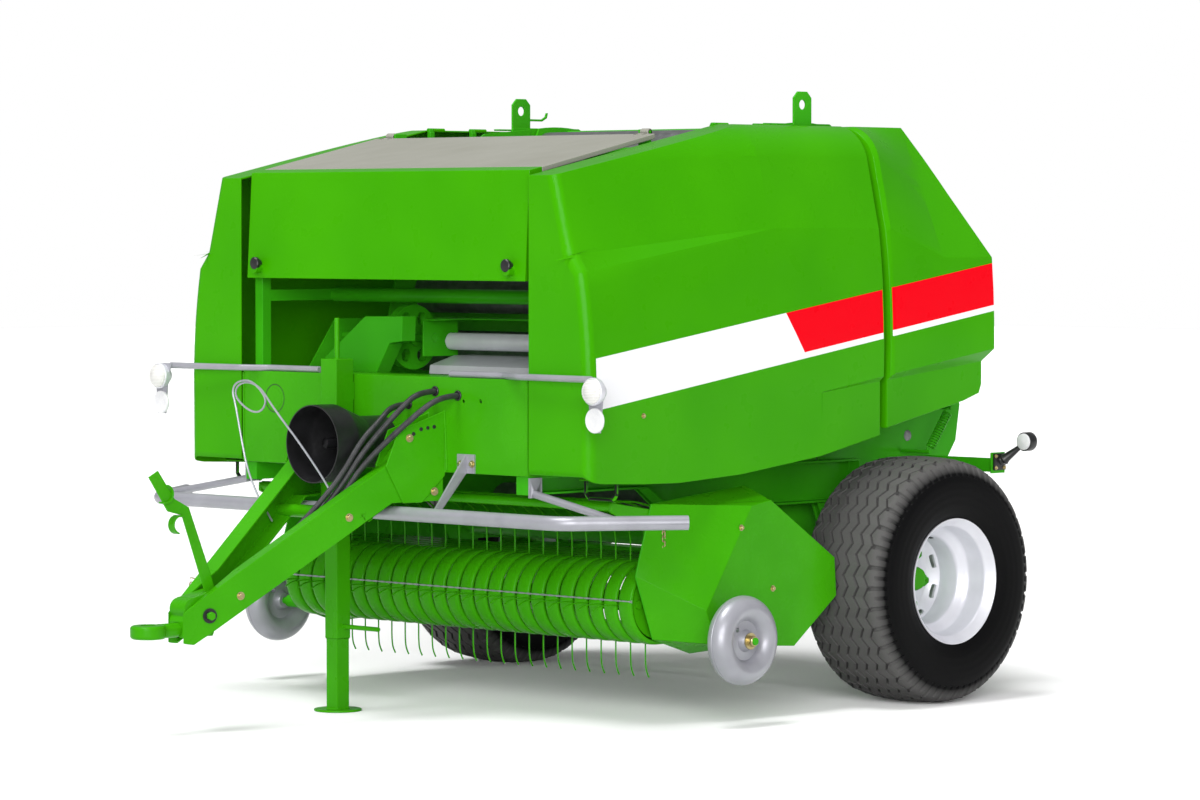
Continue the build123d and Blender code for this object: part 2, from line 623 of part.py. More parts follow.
def hose_route(index):
    x, z, _ = BEAM_HOLES[index]
    drop = HOSE_STEP * (1 - index)
    return [
        (x, FRONT_Y + BEAM_SHEET, z), (x, FRONT_Y - 74, z), (x + 22 - 26 * index, -1750, z - 52),
        (152 + 12 * index, -1822, 915 + drop), (138, -1902, 796 + drop), (110, -1982, 700 + drop),
        (92, -2070, 618 + drop), (90, -2158, 554 + drop), (78, -2246, 498 + drop),
    ]


def hose(points):
    runs = [(Vector(*b) - Vector(*a)).length for a, b in zip(points, points[1:])]
    radii = []
    for i in range(1, len(points) - 1):
        before = Vector(*points[i]) - Vector(*points[i - 1])
        after = Vector(*points[i + 1]) - Vector(*points[i])
        turn = radians(before.get_angle(after))
        radii.append(0.45 * min(runs[i - 1], runs[i]) / tan(turn / 2))
    print("hose radii", [round(r) for r in radii])
    path = FilletPolyline(*points, radius=radii)
    return sweep(Plane(origin=path @ 0, z_dir=path % 0) * Circle(HOSE_R), path)


def build_hoses():
    ends = []
    for index in range(3):
        points = hose_route(index)
        save("hose_" + str(index + 1), hose(points))
        a = Vector(*points[-2])
        b = Vector(*points[-1])
        along = (b - a).normalized()
        ends.append(rod(tuple(b), tuple(b + along * 52), 13))
    save("hose_couplers", Compound(ends))


def build_binder():
    """Feed roller, pulley, guards and guide sheet seen behind the front beam."""
    y, z = PULLEY_AXIS
    disc_x = -266.0
    pulley = cross_rod(disc_x - 30, disc_x + 30, y, z, 30) + cross_rod(disc_x - 16, disc_x + 16, y, z, 114)
    for i in range(6):
        a = 2 * pi * i / 6
        pulley -= cross_rod(disc_x - 20, disc_x + 20, y + 74 * cos(a), z + 74 * sin(a), 22)
    pulley += cross_rod(-WALL_OUT, BINDER_X + WALL, y, z, 15)
    save("twine_pulley", pulley)
    y, z = FEED_AXIS
    drum = cross_rod(BINDER_X + WALL + 20, WALL_IN - 8, y, z, 30)
    save("feed_roller", drum + cross_rod(BINDER_X, WALL_OUT, y, z, 12))

    outline = [(-498, 1100), (-498, 1204), (-289, 1350), (-97, 1353), (-101, 1266), (-164, 1258),
               (-243, 1136)]
    guard = front_plate(outline, FRONT_Y + BEAM_DEPTH, -1342)
    guard += block(-498, -330, FRONT_Y + BEAM_DEPTH, -1342, BEAM_Z0 + 20, 1110)
    plate = block(BINDER_X, BINDER_X + WALL, -1265, -1100, 1210, 1335)
    for axis, r in ((PULLEY_AXIS, 15), (FEED_AXIS, 12)):
        plate -= cross_rod(BINDER_X - 5, BINDER_X + WALL + 5, axis[0], axis[1], r + HUB_FIT)
    case = block(-WALL_IN, WALL_IN, -1080, -1010, 1335, 1341)
    case += block(BINDER_X, BINDER_X + 60, -1265, -1080, 1335, 1341)
    save("binder_frame", Compound([guard, plate + case]))
    fold = [(-1240, 1150), (-1235, 1180), (-1120, 1212), (-1030, 1212), (-1030, 1206), (-1119, 1206),
            (-1229, 1175), (-1234, 1150)]
    sheet = side_plate(fold, BINDER_X + WALL, WALL_IN)
    save("guide_sheet", sheet)


# Tailgate
def tail_outline():
    """Round at the top and back, drawn out to an ear low at the rear."""
    top, middle, low = [
        (CHAMBER_Y + TAIL_R * cos(radians(a)), CHAMBER_Z + TAIL_R * sin(radians(a))) for a in (97, 48, 0)]
    front = [top, (-270, 1960), (-178, 1868), (-88, 1668), (-88, 1250), (-60, 960), (-60, 500)]
    rear = [(0, 500), (300, 566), (560, 700), (REAR_Y - 22, 880), (REAR_Y, 1010), low]
    return make_face([ThreePointArc(low, middle, top), Polyline(*front, *rear)])


def build_tailgate():
    plate = extrude(Plane.YZ.offset(TAIL_IN) * tail_outline(), amount=TAIL_PLATE)
    plate = gudgeon_holes(plate, TAIL_ANGLES)
    arm_in = TAIL_OUT + ARM_GAP
    outline = [(-376, 1985), (-360, 2024), (-20, 2024), (90, 1960), (60, 1830), (-80, 1815), (-200, 1890),
               (-330, 1938)]
    arm = side_plate(outline, arm_in, arm_in + TAIL_PLATE)
    arm -= cross_rod(arm_in - 5, arm_in + 15, HINGE_Y, HINGE_Z, HINGE_PIN_R + PIN_FIT)
    arm += block(TAIL_OUT, arm_in, -40, 60, 1860, 1990)
    plate += arm
    for y, z in ((250, 1600), (330, 1180), (60, 1180)):
        reach = block(COVER_IN, 1100, y, y + 40, z, z + 6) + block(COVER_IN, 1100, y, y + 6, z, z + 40)
        plate += block(TAIL_OUT, COVER_IN, y, y + 40, z, z + 6)
        plate += block(TAIL_OUT, COVER_IN, y, y + 6, z, z + 40)
        plate += reach & inner_rear_cover()
    plate += block(TAIL_OUT, 930, 520, 560, 780, 786) + block(TAIL_OUT, 930, 520, 526, 786, 830)
    plate += block(930, 936, 515, 590, 775, 850)
    shape = plate + mirrored(plate)
    r = TAIL_R - 34
    for angle in (85, 49, 13, -23, -59):
        a = radians(angle)
        shape += cross_rod(-TAIL_IN, TAIL_IN, CHAMBER_Y + r * cos(a), CHAMBER_Z + r * sin(a), 24)
    save("tailgate_frame", shape)
    save("tailgate_rollers", rollers(TAIL_ANGLES))

    x, y, z = REAR_LAMP
    lamp = rod((950, 565, 823), (x, y, z), 12)
    lamp += cross_rod(936, 954, 565, 823, 16)
    lamp += rod((x, y - 26, z), (x, y + 26, z), 34)
    save("rear_lamps", Compound([lamp, mirrored(lamp)]))


def tail_cylinder():
    """Length and slope of a tailgate cylinder at rest, from its two pins."""
    dy = CYL_EYE[0] - CYL_BASE[0]
    dz = CYL_EYE[1] - CYL_BASE[1]
    return hypot(dy, dz), atan2(dz, dy)


def build_cylinders():
    length, slope = tail_cylinder()

    def at(distance):
        return CYL_X, CYL_BASE[0] + distance * cos(slope), CYL_BASE[1] + distance * sin(slope)

    barrel = rod(at(36), at(length - 130), CYL_R)
    barrel += cross_rod(CYL_X - 18, CYL_X + 18, CYL_BASE[0], CYL_BASE[1], 26)
    barrel += rod(at(10), at(40), 16)
    barrel -= cross_rod(CYL_X - 30, CYL_X + 30, CYL_BASE[0], CYL_BASE[1], PIN_R + PIN_FIT)
    barrel -= rod(at(60), at(length), ROD_R + 0.05)
    both("cylinder_barrel", barrel)
    rod_piece = rod(at(length - 340), at(length - 20), ROD_R)
    rod_piece += cross_rod(CYL_X - 18, CYL_X + 18, CYL_EYE[0], CYL_EYE[1], 26)
    pin_in = TAIL_OUT + ARM_GAP + TAIL_PLATE + ROD_PIN_GAP
    rod_piece += cross_rod(pin_in, CYL_X + 26, CYL_EYE[0], CYL_EYE[1], PIN_R)
    both("cylinder_rod", rod_piece)


# Covers
FRONT_OUTLINE = [
    (SPLIT, COVER_TOP), (COVER_CREST, COVER_TOP), (COVER_FRONT, 1832), (COVER_FRONT, 832), (-1540, 822),
    (-1350, 814), (-1173, 811), (-869, 828), (-478, 874), (-230, 920), (SPLIT, 936),
]
REAR_OUTLINE = [
    (SPLIT + SPLIT_GAP, 960), (112, 1005), (321, 1043), (COVER_REAR - 34, 1068), (COVER_REAR - 20, 1100),
    (COVER_REAR - 20, 1182), (COVER_REAR, 1224), (COVER_REAR, 1552), (TAPER_END, COVER_TOP),
    (SPLIT + SPLIT_GAP, COVER_TOP),
]

# A cover's cross-sections, as (x, z) from the foot of its skin up to the top:
# foot, end of the flat, middle and end of the bulge, end of the ledge, end of the slope, shoulder, top
SECTIONS = {
    "front": [(1003, 700), (1005, 1060), (1001, 1240), (966, 1511),
              (915, 1571), (838, 1850), (805, 1950), (770, 2012)],
    "middle": [(1000, 700), (1004, 1080), (1009, 1300), (983, 1652),
               (981, 1660), (930, 1885), (886, 1970), (805, 2012)],
    "rear": [(1000, 700), (1004, 1080), (1009, 1300), (997, 1548),
             (995, 1556), (897, 1782), (847, 1900), (793, 2012)],
}


def cover_section(name, inset, inner=COVER_IN):
    """One cross-section of a cover, from its inner edge out to its skin less inset."""
    foot, flat, bulge, side, ledge, slope, shoulder, top = [
        (x - inset, z - inset * (z > 1500)) for x, z in SECTIONS[name]]
    return make_face([
        Line((inner, foot[1]), foot),
        Line(foot, flat),
        ThreePointArc(flat, bulge, side),
        Line(side, ledge),
        Line(ledge, slope),
        ThreePointArc(slope, shoulder, top),
        Line(top, (inner, top[1])),
        Line((inner, top[1]), (inner, foot[1])),
    ])


def at_y(y, face):
    """A section drawn in x and z, set upright at y."""
    return Plane.XZ.offset(-y) * face


def low_crease(inset):
    """What the ledge low on the side takes off the covers, growing to the rear."""
    start = [(1100, 600), (1003, 600), (1003, 1093), (1010, 1100), (1100, 1100)]
    end = [(1100, 600), (958, 600), (958, 1199), (1010, 1250), (1100, 1250)]
    faces = [at_y(y, make_face(Polyline(*[(x - inset, z) for x, z in points], close=True)))
             for y, points in ((-467, start), (600, end))]
    return loft(faces, ruled=True)


FRONT_STATIONS = [(COVER_FRONT - 1, "front", 0), (COVER_CREST, "middle", 0), (SPLIT + 5, "middle", 0)]
REAR_FRONT = SPLIT + SPLIT_GAP
REAR_STATIONS = [   # y, section, inset: the first three round the lip
    (REAR_FRONT, "middle", LIP_R), (REAR_FRONT + 0.3 * LIP_R, "middle", 0.3 * LIP_R),
    (REAR_FRONT + LIP_R, "middle", 0), (TAPER_END, "rear", 0), (REAR_Y, "rear", 0),
]


def cover_solid(stations, outline, inset):
    """A solid cover with a (y, z) outline, lofted from station to station along y."""
    faces = [at_y(y, cover_section(name, more + inset, COVER_IN - inset)) for y, name, more in stations]
    body = loft(faces[:2], ruled=True)
    for first, second in zip(faces[1:], faces[2:]):
        body += loft([first, second], ruled=True)
    side = extrude(Plane.YZ.offset(600) * make_face(Polyline(*outline, close=True)), amount=600)
    return (body - low_crease(inset)) & side


def front_corner(shape, y):
    """The edges of a front cover's upright front corner."""
    return [edge for edge in shape.edges() if abs(edge.center().Y - y) < 2 and edge.center().X > 800]


def inner_front_cover():
    t = COVER_T
    outline = [(SPLIT + 5, COVER_TOP - t), (COVER_CREST, COVER_TOP - t), (COVER_FRONT + t, 1832 - t),
               (COVER_FRONT + t, 710), (SPLIT + 5, 710)]
    inner = cover_solid(FRONT_STATIONS, outline, t)
    return fillet(front_corner(inner, COVER_FRONT + t), CORNER_R - t)


def front_cover():
    outer = cover_solid(FRONT_STATIONS, FRONT_OUTLINE, 0)
    return fillet(front_corner(outer, COVER_FRONT), CORNER_R) - inner_front_cover()


def inner_rear_cover():
    t = COVER_T
    rear = COVER_REAR - t
    outline = [(REAR_FRONT, 710), (rear - 20, 710), (rear - 20, 1182), (rear, 1224), (rear, 1552 - t / 2),
               (TAPER_END - t / 2, COVER_TOP - t), (REAR_FRONT, COVER_TOP - t)]
    stations = [(y + t * (more > 0), name, more) for y, name, more in REAR_STATIONS]
    return cover_solid(stations, outline, t)


def rear_cover():
    outer = cover_solid(REAR_STATIONS, REAR_OUTLINE, 0)
    mouth = extrude(at_y(SPLIT, cover_section("middle", LIP, COVER_IN - 1)), amount=LIP, dir=(0, 1, 0))
    return outer - inner_rear_cover() - mouth


def build_covers():
    cover = front_cover()
    for y in COVER_HINGES:
        cover += rod((COVER_HINGE_X, y + 2, COVER_TOP), (COVER_HINGE_X, y + 58, COVER_TOP), KNUCKLE_R)
        cover += block(COVER_HINGE_X, 745, y + 2, y + 58, COVER_TOP - COVER_T, COVER_TOP)
        pin = rod((COVER_HINGE_X, y, COVER_TOP), (COVER_HINGE_X, y + 60, COVER_TOP), COVER_HINGE_R + PIN_FIT)
        cover -= pin
    cover += block(800, 1000, -1440, -1400, 822, 828) & inner_front_cover()
    cover += round_tube([(813, -1420, 824), (813, -1420, 762), (955, -1420, 762), (955, -1420, 824)], 6, 24)
    both("side_cover", cover)
    both("rear_cover", rear_cover())


# Front flap
def build_flap():
    cy, cz = FLAP_CREST
    fy, fz = FLAP_FOOT
    hy, hz = FLAP_HINGE
    t = FLAP_T
    bent = [(cy + 60, cz + 12), (cy, cz), (fy, fz), (fy + t, fz), (cy + t, cz - t), (cy + 60, cz + 12 - t)]
    flap = side_plate(bent, -FLAP_HALF, FLAP_HALF)
    for side in (-1, 1):
        flap += rod((side * 634, fy - 26, 1516), (side * 634, fy + 4, 1516), 17)
    save("front_flap", flap)
    edge = hy - FLAP_KNUCKLE_R - 6
    sheet = side_plate([(cy + 60, cz + 12), (edge, hz - 6), (edge, hz - 6 - t), (cy + 60, cz + 12 - t)],
                       -FLAP_HALF, FLAP_HALF)
    for side in (-1, 1):
        x0 = side * (FLAP_HINGE_X + 8 + RUN)
        x1 = side * (FLAP_HINGE_X + 49)
        sheet += block(x0, x1, edge - 1, hy, hz - 12, hz - 6) + cross_rod(x0, x1, hy, hz, FLAP_KNUCKLE_R)
        sheet -= cross_rod(side * FLAP_HINGE_X, side * (FLAP_HINGE_X + 60), hy, hz, FLAP_PIN_R + PIN_FIT)
    save("top_sheet", sheet)


# Pickup
INNER_SIDE = [
    (-1195, 738), (-742, 782), (SHIELD_REAR - 9, 560), (SHIELD_REAR, 398), (-656, 238), (-1007, 225),
    (-1186, 283), (-1269, 500),
]
OUTER_SIDE = [
    (-869, 725), (-773, 739), (SHIELD_REAR - 9, 529), (SHIELD_REAR, 398), (-656, 238), (-1000, 262),
    (-1044, 268), (-1090, 383),
]


def shield(inset):
    a = make_face(Polyline(*[(y, z) for y, z in INNER_SIDE], close=True))
    b = make_face(Polyline(*[(y, z) for y, z in OUTER_SIDE], close=True))
    if inset:
        a = offset(a, amount=-inset, kind=Kind.INTERSECTION)
        b = offset(b, amount=-inset, kind=Kind.INTERSECTION)
    lower = Plane.YZ.offset(PICKUP_IN + PICKUP_WALL - (1 if inset else 0)) * a
    upper = Plane.YZ.offset(SHIELD_X1 - inset) * b
    return loft([lower, upper], ruled=True)


def build_pickup():
    plate = side_plate(INNER_SIDE, PICKUP_IN, PICKUP_IN + PICKUP_WALL)
    plate -= cross_rod(PICKUP_IN - 5, PICKUP_IN + 15, REEL[0], REEL[1], GUDGEON_R + PIN_FIT)
    plate += rod((PICKUP_IN, GAUGE[0], GAUGE[1]), (GAUGE_X1 + 16, GAUGE[0], GAUGE[1]), GAUGE_PIN_R)
    plate += cross_rod(PICKUP_IN, GAUGE_X0 - 12, GAUGE[0], GAUGE[1], 22)
    plate -= cross_rod(PICKUP_IN - 5, PICKUP_IN + 15, PIVOT[0], PIVOT[1], PIVOT_PIN_R + PIN_FIT)
    frame = plate + mirrored(plate) + cross_rod(-PICKUP_IN, PICKUP_IN, -860, 508, 20)
    save("pickup_frame", frame)
    cover = shield(0) - shield(4)
    cover -= cross_rod(PICKUP_IN, SHIELD_X1 + 10, GAUGE[0], GAUGE[1], 24)
    both("pickup_shield", cover)

    y, z = REEL
    bands = block(-PICKUP_IN, PICKUP_IN, y + 300, y + 306, z + 80, z + BAND_R)
    bands += block(-PICKUP_IN, PICKUP_IN, y + BAND_END, y + BAND_END + 6, z - BAND_R, z - BAND_R + 40)
    r0 = BAND_R - BAND_T
    for i in range(TINE_COUNT + 1):
        x = (i - TINE_COUNT / 2) * TINE_PITCH
        face = make_face([
            Line((y + 302, z + BAND_R), (y, z + BAND_R)),
            ThreePointArc((y, z + BAND_R), (y - BAND_R, z), (y, z - BAND_R)),
            Line((y, z - BAND_R), (y + BAND_END + 2, z - BAND_R)),
            Line((y + BAND_END + 2, z - BAND_R), (y + BAND_END + 2, z - r0)),
            Line((y + BAND_END + 2, z - r0), (y, z - r0)),
            ThreePointArc((y, z - r0), (y - r0, z), (y, z + r0)),
            Line((y, z + r0), (y + 302, z + r0)),
            Line((y + 302, z + r0), (y + 302, z + BAND_R)),
        ])
        bands += extrude(Plane.YZ.offset(x - BAND_W / 2) * face, amount=BAND_W)
    save("stripper_bands", bands)

    y, z = WIND_GUARD
    guard = cross_rod(-PICKUP_IN + 30, PICKUP_IN - 30, y, z, 17)
    for side in (-1, 1):
        ear = [(y - 18, z - 18), (y - 18, z + 14), (-1190, 720), (-1150, 660), (-1195, 640)]
        guard += side_plate(ear, side * (PICKUP_IN - 12), side * PICKUP_IN)
        guard += cross_rod(side * (PICKUP_IN - 40), side * (PICKUP_IN - 6), y, z, 17)
    for x in tine_places():
        guard += side_plate([(y, z + 3), (y, z - 4), (-950, 618), (-950, 625)], x - 3, x + 3)
    save("wind_guard", guard)


def tine_places():
    """The x of each row of tines."""
    return [(i - (TINE_COUNT - 1) / 2) * TINE_PITCH for i in range(TINE_COUNT)]


def build_reel():
    y, z = REEL
    reel = cross_rod(-PICKUP_IN + 8, PICKUP_IN - 8, 0, 0, REEL_TUBE_R)
    for side in (-1, 1):
        reel += cross_rod(side * (PICKUP_IN - 8), side * (PICKUP_IN + PICKUP_WALL + 12), 0, 0, GUDGEON_R)
    for x in (-860, -430, 0, 430, 860):
        disc = cross_rod(x - 3, x + 3, 0, 0, TINE_BAR_AT + TINE_BAR_R + 8)
        reel += disc
    tine = [(TINE_BAR_AT, -3), (200, -3), (TINE_TIP_R, 14), (TINE_TIP_R - 2, 20), (199, 3), (TINE_BAR_AT, 3)]
    for row in range(4):
        a = 2 * pi * row / 4
        bar = cross_rod(-PICKUP_IN + 20, PICKUP_IN - 20, TINE_BAR_AT, 0, TINE_BAR_R)
        for x in tine_places():
            bar += side_plate(tine, x - TINE_T / 2, x + TINE_T / 2)
        reel += Rot(degrees(a), 0, 0) * bar
    save("pickup_reel", Pos(0, y, z) * reel)


def gauge_wheel():
    """Two pressed halves welded at a seam: a fat round rim and a dished middle with a boss."""
    w = (GAUGE_X1 - GAUGE_X0) / 2
    r = GAUGE_R
    bore = GAUGE_PIN_R + HUB_FIT

    def half(side):
        """From the seam over the rim, down the dish and the boss to the bore."""
        seam, crown, face, dish, web = [
            (side * x, z) for x, z in ((0, r), (0.72 * w, r - 15), (w, r - 44), (0.76 * w, r - 68), (GAUGE_WEB, r - 84))]
        foot, boss, end = [(side * x, z) for x, z in ((GAUGE_WEB, 38), (w - 12, 26), (w - 12, bore))]
        return [ThreePointArc(seam, crown, face), ThreePointArc(face, dish, web), Line(web, foot), Line(foot, boss),
                Line(boss, end)]

    across = Line((w - 12, bore), (12 - w, bore))
    outline = make_face(half(1) + half(-1) + [across])
    return Pos((GAUGE_X0 + GAUGE_X1) / 2, GAUGE[0], GAUGE[1]) * revolve(outline, Axis.X)


def build_gauge_wheels():
    both("gauge_wheel", gauge_wheel())


def build():
    build_wheels()
    build_axle()
    build_front_beam()
    build_drawbar()
    build_frame()
    build_jack()
    build_pto()
    build_guard_bar()
    build_front_lamps()
    build_hose_guide()
    build_hoses()
    build_binder()
    build_tailgate()
    build_cylinders()
    build_covers()
    build_flap()
    build_pickup()
    build_reel()
    build_gauge_wheels()


if __name__ == "__main__":
    build()
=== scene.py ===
"""A fixed-chamber round baler in fresh green paint, parked on its jack in a pale studio."""

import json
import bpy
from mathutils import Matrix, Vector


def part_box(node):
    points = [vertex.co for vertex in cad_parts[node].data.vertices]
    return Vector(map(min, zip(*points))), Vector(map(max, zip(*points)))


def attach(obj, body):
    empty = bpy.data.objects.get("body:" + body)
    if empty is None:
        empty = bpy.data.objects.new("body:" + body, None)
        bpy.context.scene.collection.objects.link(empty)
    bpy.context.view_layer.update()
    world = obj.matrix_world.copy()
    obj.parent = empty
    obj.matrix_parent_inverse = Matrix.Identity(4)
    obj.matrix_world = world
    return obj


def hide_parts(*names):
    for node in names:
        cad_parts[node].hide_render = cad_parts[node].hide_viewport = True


bl_info = {
    "name": "Round Baler",
    "version": (1, 0, 0),
    "blender": (4, 5, 0),
    "location": "View3D > Sidebar > Baler",
    "description": "Finishes a round baler's panels, tyres, hoses and fittings, and sets its studio",
    "category": "Add Mesh",
}

from math import atan2, copysign, cos, hypot, pi, radians, sin

import bpy
from bpy.props import FloatProperty, FloatVectorProperty, IntProperty, PointerProperty
from bpy.types import Operator, Panel, PropertyGroup
from mathutils import Matrix, Vector

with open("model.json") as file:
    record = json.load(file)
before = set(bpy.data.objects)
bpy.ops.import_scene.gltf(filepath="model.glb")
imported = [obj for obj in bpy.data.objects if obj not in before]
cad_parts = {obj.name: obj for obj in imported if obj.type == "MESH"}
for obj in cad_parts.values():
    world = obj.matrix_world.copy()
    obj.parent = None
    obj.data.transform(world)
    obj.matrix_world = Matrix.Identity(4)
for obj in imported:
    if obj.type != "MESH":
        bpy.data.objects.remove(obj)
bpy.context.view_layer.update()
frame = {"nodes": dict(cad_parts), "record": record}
NODES = frame["nodes"]
BODY_OF = {node: body for body, group in frame["record"]["behaviour"]["bodies"].items() for node in group}
RIM_LOW, RIM_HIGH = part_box("rim_right")
AXLE_Y = (RIM_LOW.y + RIM_HIGH.y) / 2   # the wheel axle, from which lengths below are measured
WHEEL_X = (RIM_LOW.x + RIM_HIGH.x) / 2
WHEEL_Z = (RIM_LOW.z + RIM_HIGH.z) / 2
MM = 0.001


def at(x, y, z):
    """A place given in metres from the middle of the axle, at ground level, in the frame's own axes."""
    return Vector((x, y + AXLE_Y, z))


def place(x, y, z):
    """The same in millimetres."""
    return at(x * MM, y * MM, z * MM)


def middle_of(node):
    """The middle of a node's box."""
    low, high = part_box(node)
    return (low + high) / 2


# Colours and materials

def linear(code):
    """An sRGB hex colour as the linear colour that the shader nodes use."""
    channels = [int(code[i:i + 2], 16) / 255 for i in (1, 3, 5)]
    return [c / 12.92 if c <= 0.04045 else ((c + 0.055) / 1.055) ** 2.4 for c in channels] + [1.0]


def add(tree, kind, settings=None, links=None, **properties):
    """Adds a shader node with its properties, its socket values and its links."""
    made = tree.nodes.new(kind)
    for key, value in properties.items():
        setattr(made, key, value)
    for key, value in (settings or {}).items():
        made.inputs[key].default_value = value
    for key, socket in (links or {}).items():
        tree.links.new(socket, made.inputs[key])
    return made


def start_material(name):
    """A new material, its tree and its Object coordinates."""
    material = bpy.data.materials.new(name)
    material.use_nodes = True
    tree = material.node_tree
    tree.nodes.clear()
    return material, tree, add(tree, "ShaderNodeTexCoord").outputs["Object"]


def finish_material(material, tree, shader):
    """Joins the shader to the material's output."""
    add(tree, "ShaderNodeOutputMaterial", links={"Surface": shader.outputs[0]})
    return material


def noise(tree, coords, size_mm, detail=2.0):
    """Noise whose blotches are about size_mm across."""
    settings = {"Scale": 1000 / size_mm, "Detail": detail}
    return add(tree, "ShaderNodeTexNoise", settings, {"Vector": coords}).outputs[0]


def blend_colours(tree, factor, one, two):
    """Mixes two colours, each a hex code or a socket."""
    mix = add(tree, "ShaderNodeMix", links={0: factor}, data_type="RGBA")
    for index, colour in ((6, one), (7, two)):
        if isinstance(colour, str):
            mix.inputs[index].default_value = linear(colour)
        else:
            tree.links.new(colour, mix.inputs[index])
    return mix.outputs[2]


def spread(tree, factor, low, high):
    """Maps noise to a range."""
    settings = {"From Min": 0.3, "From Max": 0.7, "To Min": low, "To Max": high}
    return add(tree, "ShaderNodeMapRange", settings, {"Value": factor}).outputs[0]


def bump(tree, height, depth_mm, strength=1.0, normal=None):
    """A bump whose height of 1 stands for depth_mm."""
    links = {"Height": height}
    if normal is not None:
        links["Normal"] = normal
    return add(tree, "ShaderNodeBump", {"Strength": strength, "Distance": depth_mm * MM}, links).outputs[0]


def coated(name, colour, shade, roughness, settings, grain_mm, grain_depth, mottle_mm=260.0):
    """A surface whose colour drifts a little over mottle_mm, with a fine bump of grain_mm."""
    material, tree, coords = start_material(name)
    drift = spread(tree, noise(tree, coords, mottle_mm), 0.0, 1.0)
    base = blend_colours(tree, drift, colour, shade)
    rough = spread(tree, noise(tree, coords, mottle_mm / 4, 3.0), roughness[0], roughness[1])
    skin = bump(tree, noise(tree, coords, grain_mm), grain_depth)
    links = {"Base Color": base, "Roughness": rough, "Normal": skin}
    shader = add(tree, "ShaderNodeBsdfPrincipled", settings, links)
    return finish_material(material, tree, shader)


STRIPE_FRONT = -1.563     # start of the band behind the front corner
STRIPE_SLOPE = 0.149
STRIPE_LOW = 1.063
STRIPE_HIGH = 1.233
STRIPE_LINE = 0.021       # white line left under the red
STRIPE_RED = 1.016        # start of the red along the band's lower edge
STRIPE_LEAN = 0.6
STRIPE_OUT = 0.93         # only what lies further out than this carries the band
STRIPE_GAP = 1.4355       # middle of the joint between front and rear covers
STRIPE_GAP_HALF = 0.0275


def stripe_masks(tree, coords):
    """The slanted white and red band along the side covers, as two masks."""
    spot = add(tree, "ShaderNodeSeparateXYZ", links={0: coords})

    def math_node(operation, one, two):
        node = add(tree, "ShaderNodeMath", operation=operation)
        for index, value in enumerate((one, two)):
            if isinstance(value, float):
                node.inputs[index].default_value = value
            else:
                tree.links.new(value, node.inputs[index])
        return node.outputs[0]

    along = math_node("SUBTRACT", spot.outputs[1], AXLE_Y + STRIPE_FRONT)
    rise = math_node("MULTIPLY", along, STRIPE_SLOPE)
    height = math_node("SUBTRACT", spot.outputs[2], rise)
    above = math_node("GREATER_THAN", height, STRIPE_LOW)
    below = math_node("LESS_THAN", height, STRIPE_HIGH)
    behind = math_node("GREATER_THAN", along, 0.0)
    normal = add(tree, "ShaderNodeTexCoord").outputs["Normal"]
    facing = add(tree, "ShaderNodeSeparateXYZ", links={0: normal})
    wide = math_node("GREATER_THAN", math_node("ABSOLUTE", spot.outputs[0], 0.0), STRIPE_OUT)
    outward = math_node("GREATER_THAN", math_node("MULTIPLY", spot.outputs[0], facing.outputs[0]), 0.0)
    outside = math_node("MULTIPLY", wide, outward)
    from_gap = math_node("ABSOLUTE", math_node("SUBTRACT", along, STRIPE_GAP), 0.0)
    not_gap = math_node("GREATER_THAN", from_gap, STRIPE_GAP_HALF)
    band = math_node("MULTIPLY", math_node("MULTIPLY", above, below), math_node("MULTIPLY", behind, outside))
    band = math_node("MULTIPLY", band, not_gap)
    lean = math_node("MULTIPLY", math_node("SUBTRACT", height, STRIPE_LOW), STRIPE_LEAN)
    red = math_node("GREATER_THAN", math_node("ADD", along, lean), STRIPE_RED)
    over = math_node("GREATER_THAN", height, STRIPE_LOW + STRIPE_LINE)
    return band, math_node("MULTIPLY", red, over)


def cover_plastic():
    """Glass-fibre panels with a polished gel coat: deep even green with broad soft reflections."""
    material, tree, coords = start_material("gel_coated_glass_fibre")
    drift = spread(tree, noise(tree, coords, 420), 0.0, 1.0)
    green = blend_colours(tree, drift, COLOURS["cover"], COLOURS["cover_shade"])
    band, red = stripe_masks(tree, coords)
    foil = blend_colours(tree, red, COLOURS["stripe_white"], COLOURS["stripe_red"])
    base = blend_colours(tree, band, green, foil)
    rough = spread(tree, noise(tree, coords, 90, 3.0), 0.26, 0.34)
    skin = bump(tree, noise(tree, coords, 38), 0.10)
    gloss = {"Coat Weight": 0.04, "Coat Roughness": 0.06, "Specular IOR Level": 0.07}
    links = {"Base Color": base, "Roughness": rough, "Normal": skin}
    shader = add(tree, "ShaderNodeBsdfPrincipled", gloss, links)
    return finish_material(material, tree, shader)


WALL_TOP_R = 0.375        # the dark wall ends here,
TREAD_FOOT_R = 0.405      # and from here out the tread is painted lighter grey, a painted sheen
RING_WAVES = 240.0        # the wall's fine moulded rings, in radians to a metre of radius


